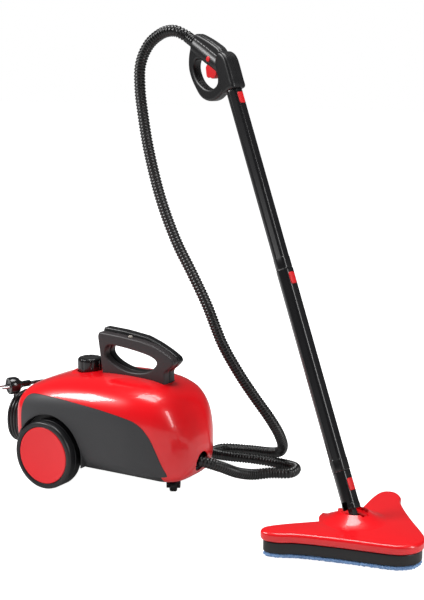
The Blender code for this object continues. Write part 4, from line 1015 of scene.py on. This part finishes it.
# %% [markdown]
# The steam gun flows from one volume into the next: a socket hood, a barrel and the D-shaped hand
# loop. Booleans alone leave hard creases, so the three are joined by a fine voxel skin and smoothed,
# and only then are the inside spaces cut and the form split into its two halves.

# %% The steam gun
LOOP_LINE = [(-0.050, 0.909), (-0.064, 0.903), (-0.083, 0.884), (-0.0935, 0.864), (-0.0955, 0.845),
             (-0.0915, 0.822), (-0.083, 0.799), (-0.066, 0.784), (-0.046, 0.7785),
             (-0.024, 0.7815), (-0.004, 0.788), (0.006, 0.802), (0.004, 0.850), (-0.010, 0.872),
             (-0.032, 0.895)]
LOOP_HOLE = [(-0.070, 0.866), (-0.0790, 0.857), (-0.0805, 0.842), (-0.0765, 0.826),
             (-0.065, 0.810), (-0.051, 0.801), (-0.038, 0.7995), (-0.028, 0.804), (-0.024, 0.816),
             (-0.028, 0.828), (-0.044, 0.846), (-0.058, 0.862)]
HOOD_LINE = [(-0.0150, 0.7762), (-0.0165, 0.800), (-0.0150, 0.826), (-0.006, 0.846),
             (0.004, 0.850), (0.0135, 0.842), (0.0180, 0.830), (0.0185, 0.815), (0.0180, 0.795),
             (0.0165, 0.7764), (0.0, 0.7762)]
TRIGGER_LINE = [(0.0040, -0.0030), (0.0020, 0.0045), (-0.0080, 0.0095), (-0.0190, 0.0145),
                (-0.0250, 0.0110), (-0.0290, -0.0040), (-0.0270, -0.0090), (-0.0200, -0.0105),
                (-0.0170, -0.0150), (-0.0090, -0.0165), (-0.0020, -0.0130)]
BARREL_FOOT = Vector((-0.0085, 0, 0.8265))
LOCK_AT, TRIGGER_AT = (-0.0265, 0, 0.8490), (-0.0263, 0, 0.8326)
MICRO_AT, MICRO_SPACE = (-0.0129, 0, 0.8331), (0.0106, 0.0110, 0.0106)
TRIGGER_SPACE = [(-0.0205, 0.8120), (-0.0200, 0.8400), (-0.0300, 0.8460), (-0.0470, 0.8560),
                 (-0.0640, 0.8500), (-0.0610, 0.8200), (-0.0440, 0.8080)]


def pipe_space():
    """Room for the steam pipe: down the barrel, round its root and into the wand."""
    runs = ((0.0620, 0.0), (0.0500, 0.0030), (0.0400, 0.0075), (0.0280, 0.0106),
            (0.0120, 0.0106), (0.0020, 0.0100))
    line = [BARREL_FOOT + BARREL_TILT @ Vector((out, 0, along)) for along, out in runs]
    line += [(0.0036, 0, 0.8250), (0.0040, 0, 0.8140), (0, 0, 0.7965)]
    return tube(even(smooth_line(line, 5), 0.004), 0.0037, 20)


barrel = spun([(0, -0.006), (0.0140, -0.006), (0.0158, 0.010), (0.0160, 0.050), (0.0152, 0.086),
               (0.0145, 0.0885), (0, 0.0885)], 72)
form = carve(plain(plate([rounded(LOOP_LINE), rounded(LOOP_HOLE)], 0.0100, 0.0045, 3)),
             ("UNION", moved(barrel, BARREL_TILT, shift(*BARREL_FOOT))),
             ("UNION", plate([rounded(HOOD_LINE)], 0.0165, 0.0060)))
skin = form.modifiers.new("skin", "REMESH")
skin.mode = "VOXEL"
skin.voxel_size = 0.0010
flow = form.modifiers.new("flow", "SMOOTH")
flow.factor = 0.5
flow.iterations = 6
applied(form)
carve(form, pipe_space(),
      moved(bar(HOSE_D / 2 + 0.0005, -0.001, 0.0300), BARREL_TILT, shift(*HOSE_IN_GUN)),
      bar(TUBE_R - 0.0050, 0.770, 0.806),
      flat_box((0.060, 0.060, 0.030), (0, 0, JOINTS[2] - 0.01485)),
      moved(flat_box(MICRO_SPACE, (0, 0, 0)), BARREL_TILT, shift(*MICRO_AT)),
      plate([TRIGGER_SPACE], 0.0068),
      bar(0.0053, -0.030, 0.030, "Y", LOCK_AT, 40))
for side, name in SIDES:
    half = bmesh.new()
    half.from_mesh(form.data)
    own_side = flat_box((0.30, 0.040, 0.30), (-0.030, side * (0.020 + GAP / 2), 0.845))
    piece(carve(plain(half), ("INTERSECT", own_side)), "gun_shell_" + name, "black_satin",
          "gun_half_" + name, place=WAND, angle=38)
bpy.data.objects.remove(form)
blade = plate([soft_corners(TRIGGER_LINE, 0.003)], 0.0062, 0.0014, 3)
piece(moved(blade, shift(*TRIGGER_AT)), "trigger_blade", "red_satin", "trigger", "trigger_body",
      WAND, 40)
lock = spun([(0, -0.0176), (0.0032, -0.0176), (0.0044, -0.0172), (0.0050, -0.0160),
             (0.0050, 0.0160), (0.0044, 0.0172), (0.0032, 0.0176), (0, 0.0176)], 48)
piece(moved(lock, turn(90, "X"), shift(*LOCK_AT)), "lock_slider", "red_satin", "lock_button",
      "lock_button_body", WAND, 40)
print("gun halves")

# %% [markdown]
# The mop head is a triangular red cover on a black base, with the cloth pad below. Its corners sweep
# back, and a mound rises to the joint in the middle. The cover is a plate with a rounded rim and the
# mound is turned with a hollow flank, so its foot runs out flat into the cover.

# %% The mop head
HEAD_HALF, HEAD_FRONT, HEAD_BACK = 0.158, 0.146, 0.064
PAD_T, BASE_TOP, COVER_TOP = 0.009, 0.029, 0.046


def head_outline(inset, per=6):
    w, f, b = HEAD_HALF, HEAD_FRONT, HEAD_BACK
    half = [(f, 0.0), (f - 0.006, 0.022), (f - 0.026, 0.042), (0.35 * f, 0.53 * w),
            (-0.10 * b, 0.78 * w), (-0.45 * b, 0.93 * w), (-0.80 * b, w), (-1.04 * b, 0.965 * w),
            (-1.12 * b, 0.86 * w), (-0.95 * b, 0.66 * w), (-0.66 * b, 0.42 * w),
            (-0.46 * b, 0.24 * w), (-0.42 * b, 0.0)]
    full = half + [(x, -y) for x, y in reversed(half[1:-1])]
    return grown(rounded(full, per), -inset)


def head_plate(inset, low, high, rim, steps=4):
    made = plate([head_outline(inset)], (high - low) / 2 - GAP / 2, rim, steps, False)
    return moved(made, shift(0, 0, (high + low) / 2 - FOOT.z))


mound = spun([(0, -0.012), (0.060, -0.012), (0.060, -0.0046), (0.055, -0.0040), (0.049, -0.0024),
              (0.042, 0.0006), (0.035, 0.0040), (0.029, 0.0078), (0.0245, 0.0108),
              (0.0225, 0.0120), (0.0205, 0.0125), (0, 0.0125)], 96)
cover = carve(plain(head_plate(0, BASE_TOP, COVER_TOP, 0.0055, 6)), ("UNION", mound),
              flat_box((0.046, 0.0150, 0.060), (0.004, 0, 0.0180)),
              spun([(0, 0.0045), (0.0235, 0.0058), (0.0265, 0.040), (0, 0.040)], 72),
              flat_box((0.060, 0.0350, 0.060), (-0.0395, 0, 0.0205)),
              bar(PIN_HOLE_R, -0.024, 0.024, "Y", steps=32))
piece(cover, "head_shell", "red_gloss", "head_cover", "head_body", HEAD, angle=28)
piece(head_plate(0.0045, PAD_T, BASE_TOP, 0.0020), "head_sole", "black_satin", "head_base",
      "head_body", HEAD, angle=30)
print("head", 2 * HEAD_HALF, "m wide")

# %% [markdown]
# The pad is blue microfibre: short looped pile on a woven back, bound round its edge. Its cushion is
# soft, and its pile would be a million hairs; at this distance it reads as a matt surface broken
# into tufts. A Geometry Nodes recipe scatters real tufts over the cushion with a fixed seed.

# %% The pad
cloth = Finish("blue_cloth", Roughness=0.95)
weave = cloth.noise(420, 4, 0.7)
cloth.set(Base_Color=cloth.ramp(weave, [(0.30, (0.10, 0.24, 0.56)), (0.72, (0.42, 0.64, 0.95))]))
cloth.bump(weave + 0.6 * cloth.noise(1500, 3), 0.0006, 0.8)
FINISHES["blue_cloth"] = cloth.material


def tufted():
    recipe = Recipe("tufts", Density=("Float", 200000.0), Size=("Float", 0.0016), Seed=("Int", 3))
    cushion = recipe.input("Geometry")
    spots = recipe.node("GeometryNodeDistributePointsOnFaces", 0, {"distribute_method": "RANDOM"},
                        Mesh=cushion, Density=recipe.input("Density"), Seed=recipe.input("Seed"))
    tuft = recipe.node("GeometryNodeMeshIcoSphere", Radius=recipe.input("Size"), Subdivisions=1)
    pile = recipe.node("GeometryNodeInstanceOnPoints", Points=spots, Instance=tuft)
    whole = recipe.node("GeometryNodeJoinGeometry", Geometry=cushion)
    recipe.tree.links.new(pile.socket, whole.socket.node.inputs[0])
    return recipe.end(whole)


pad = plain(head_plate(0.0055, 0.0020, PAD_T - 0.0010, 0.0028, 3))
pad = tufted().run(pad, "blue_cloth", Density=90000.0, Size=0.0014)
pad = piece(pad, "cloth_pad", "blue_cloth", "mop_pad", "head_body", HEAD, angle=80)
print("pad", len(pad.data.polygons), "faces")

# %% [markdown]
# Every other part of the frame is already the shape it has on the machine: valves, pins, pipes and
# the boiler are turned or folded pieces seen only when the casing is open. They keep their solids
# and take the finish their material calls for, so no part is left with a plain colour.

# %% Finishes of what stays as it is
LOOK = {part["node"]: part["material_slot"] for part in frame["record"]["subparts"]}
for node, solid in frame["nodes"].items():
    solid.data.materials.clear()
    solid.data.materials.append(FINISHES[LOOK[node]])

low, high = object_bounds()
print("size", [round(b - a, 4) for a, b in zip(low, high)])
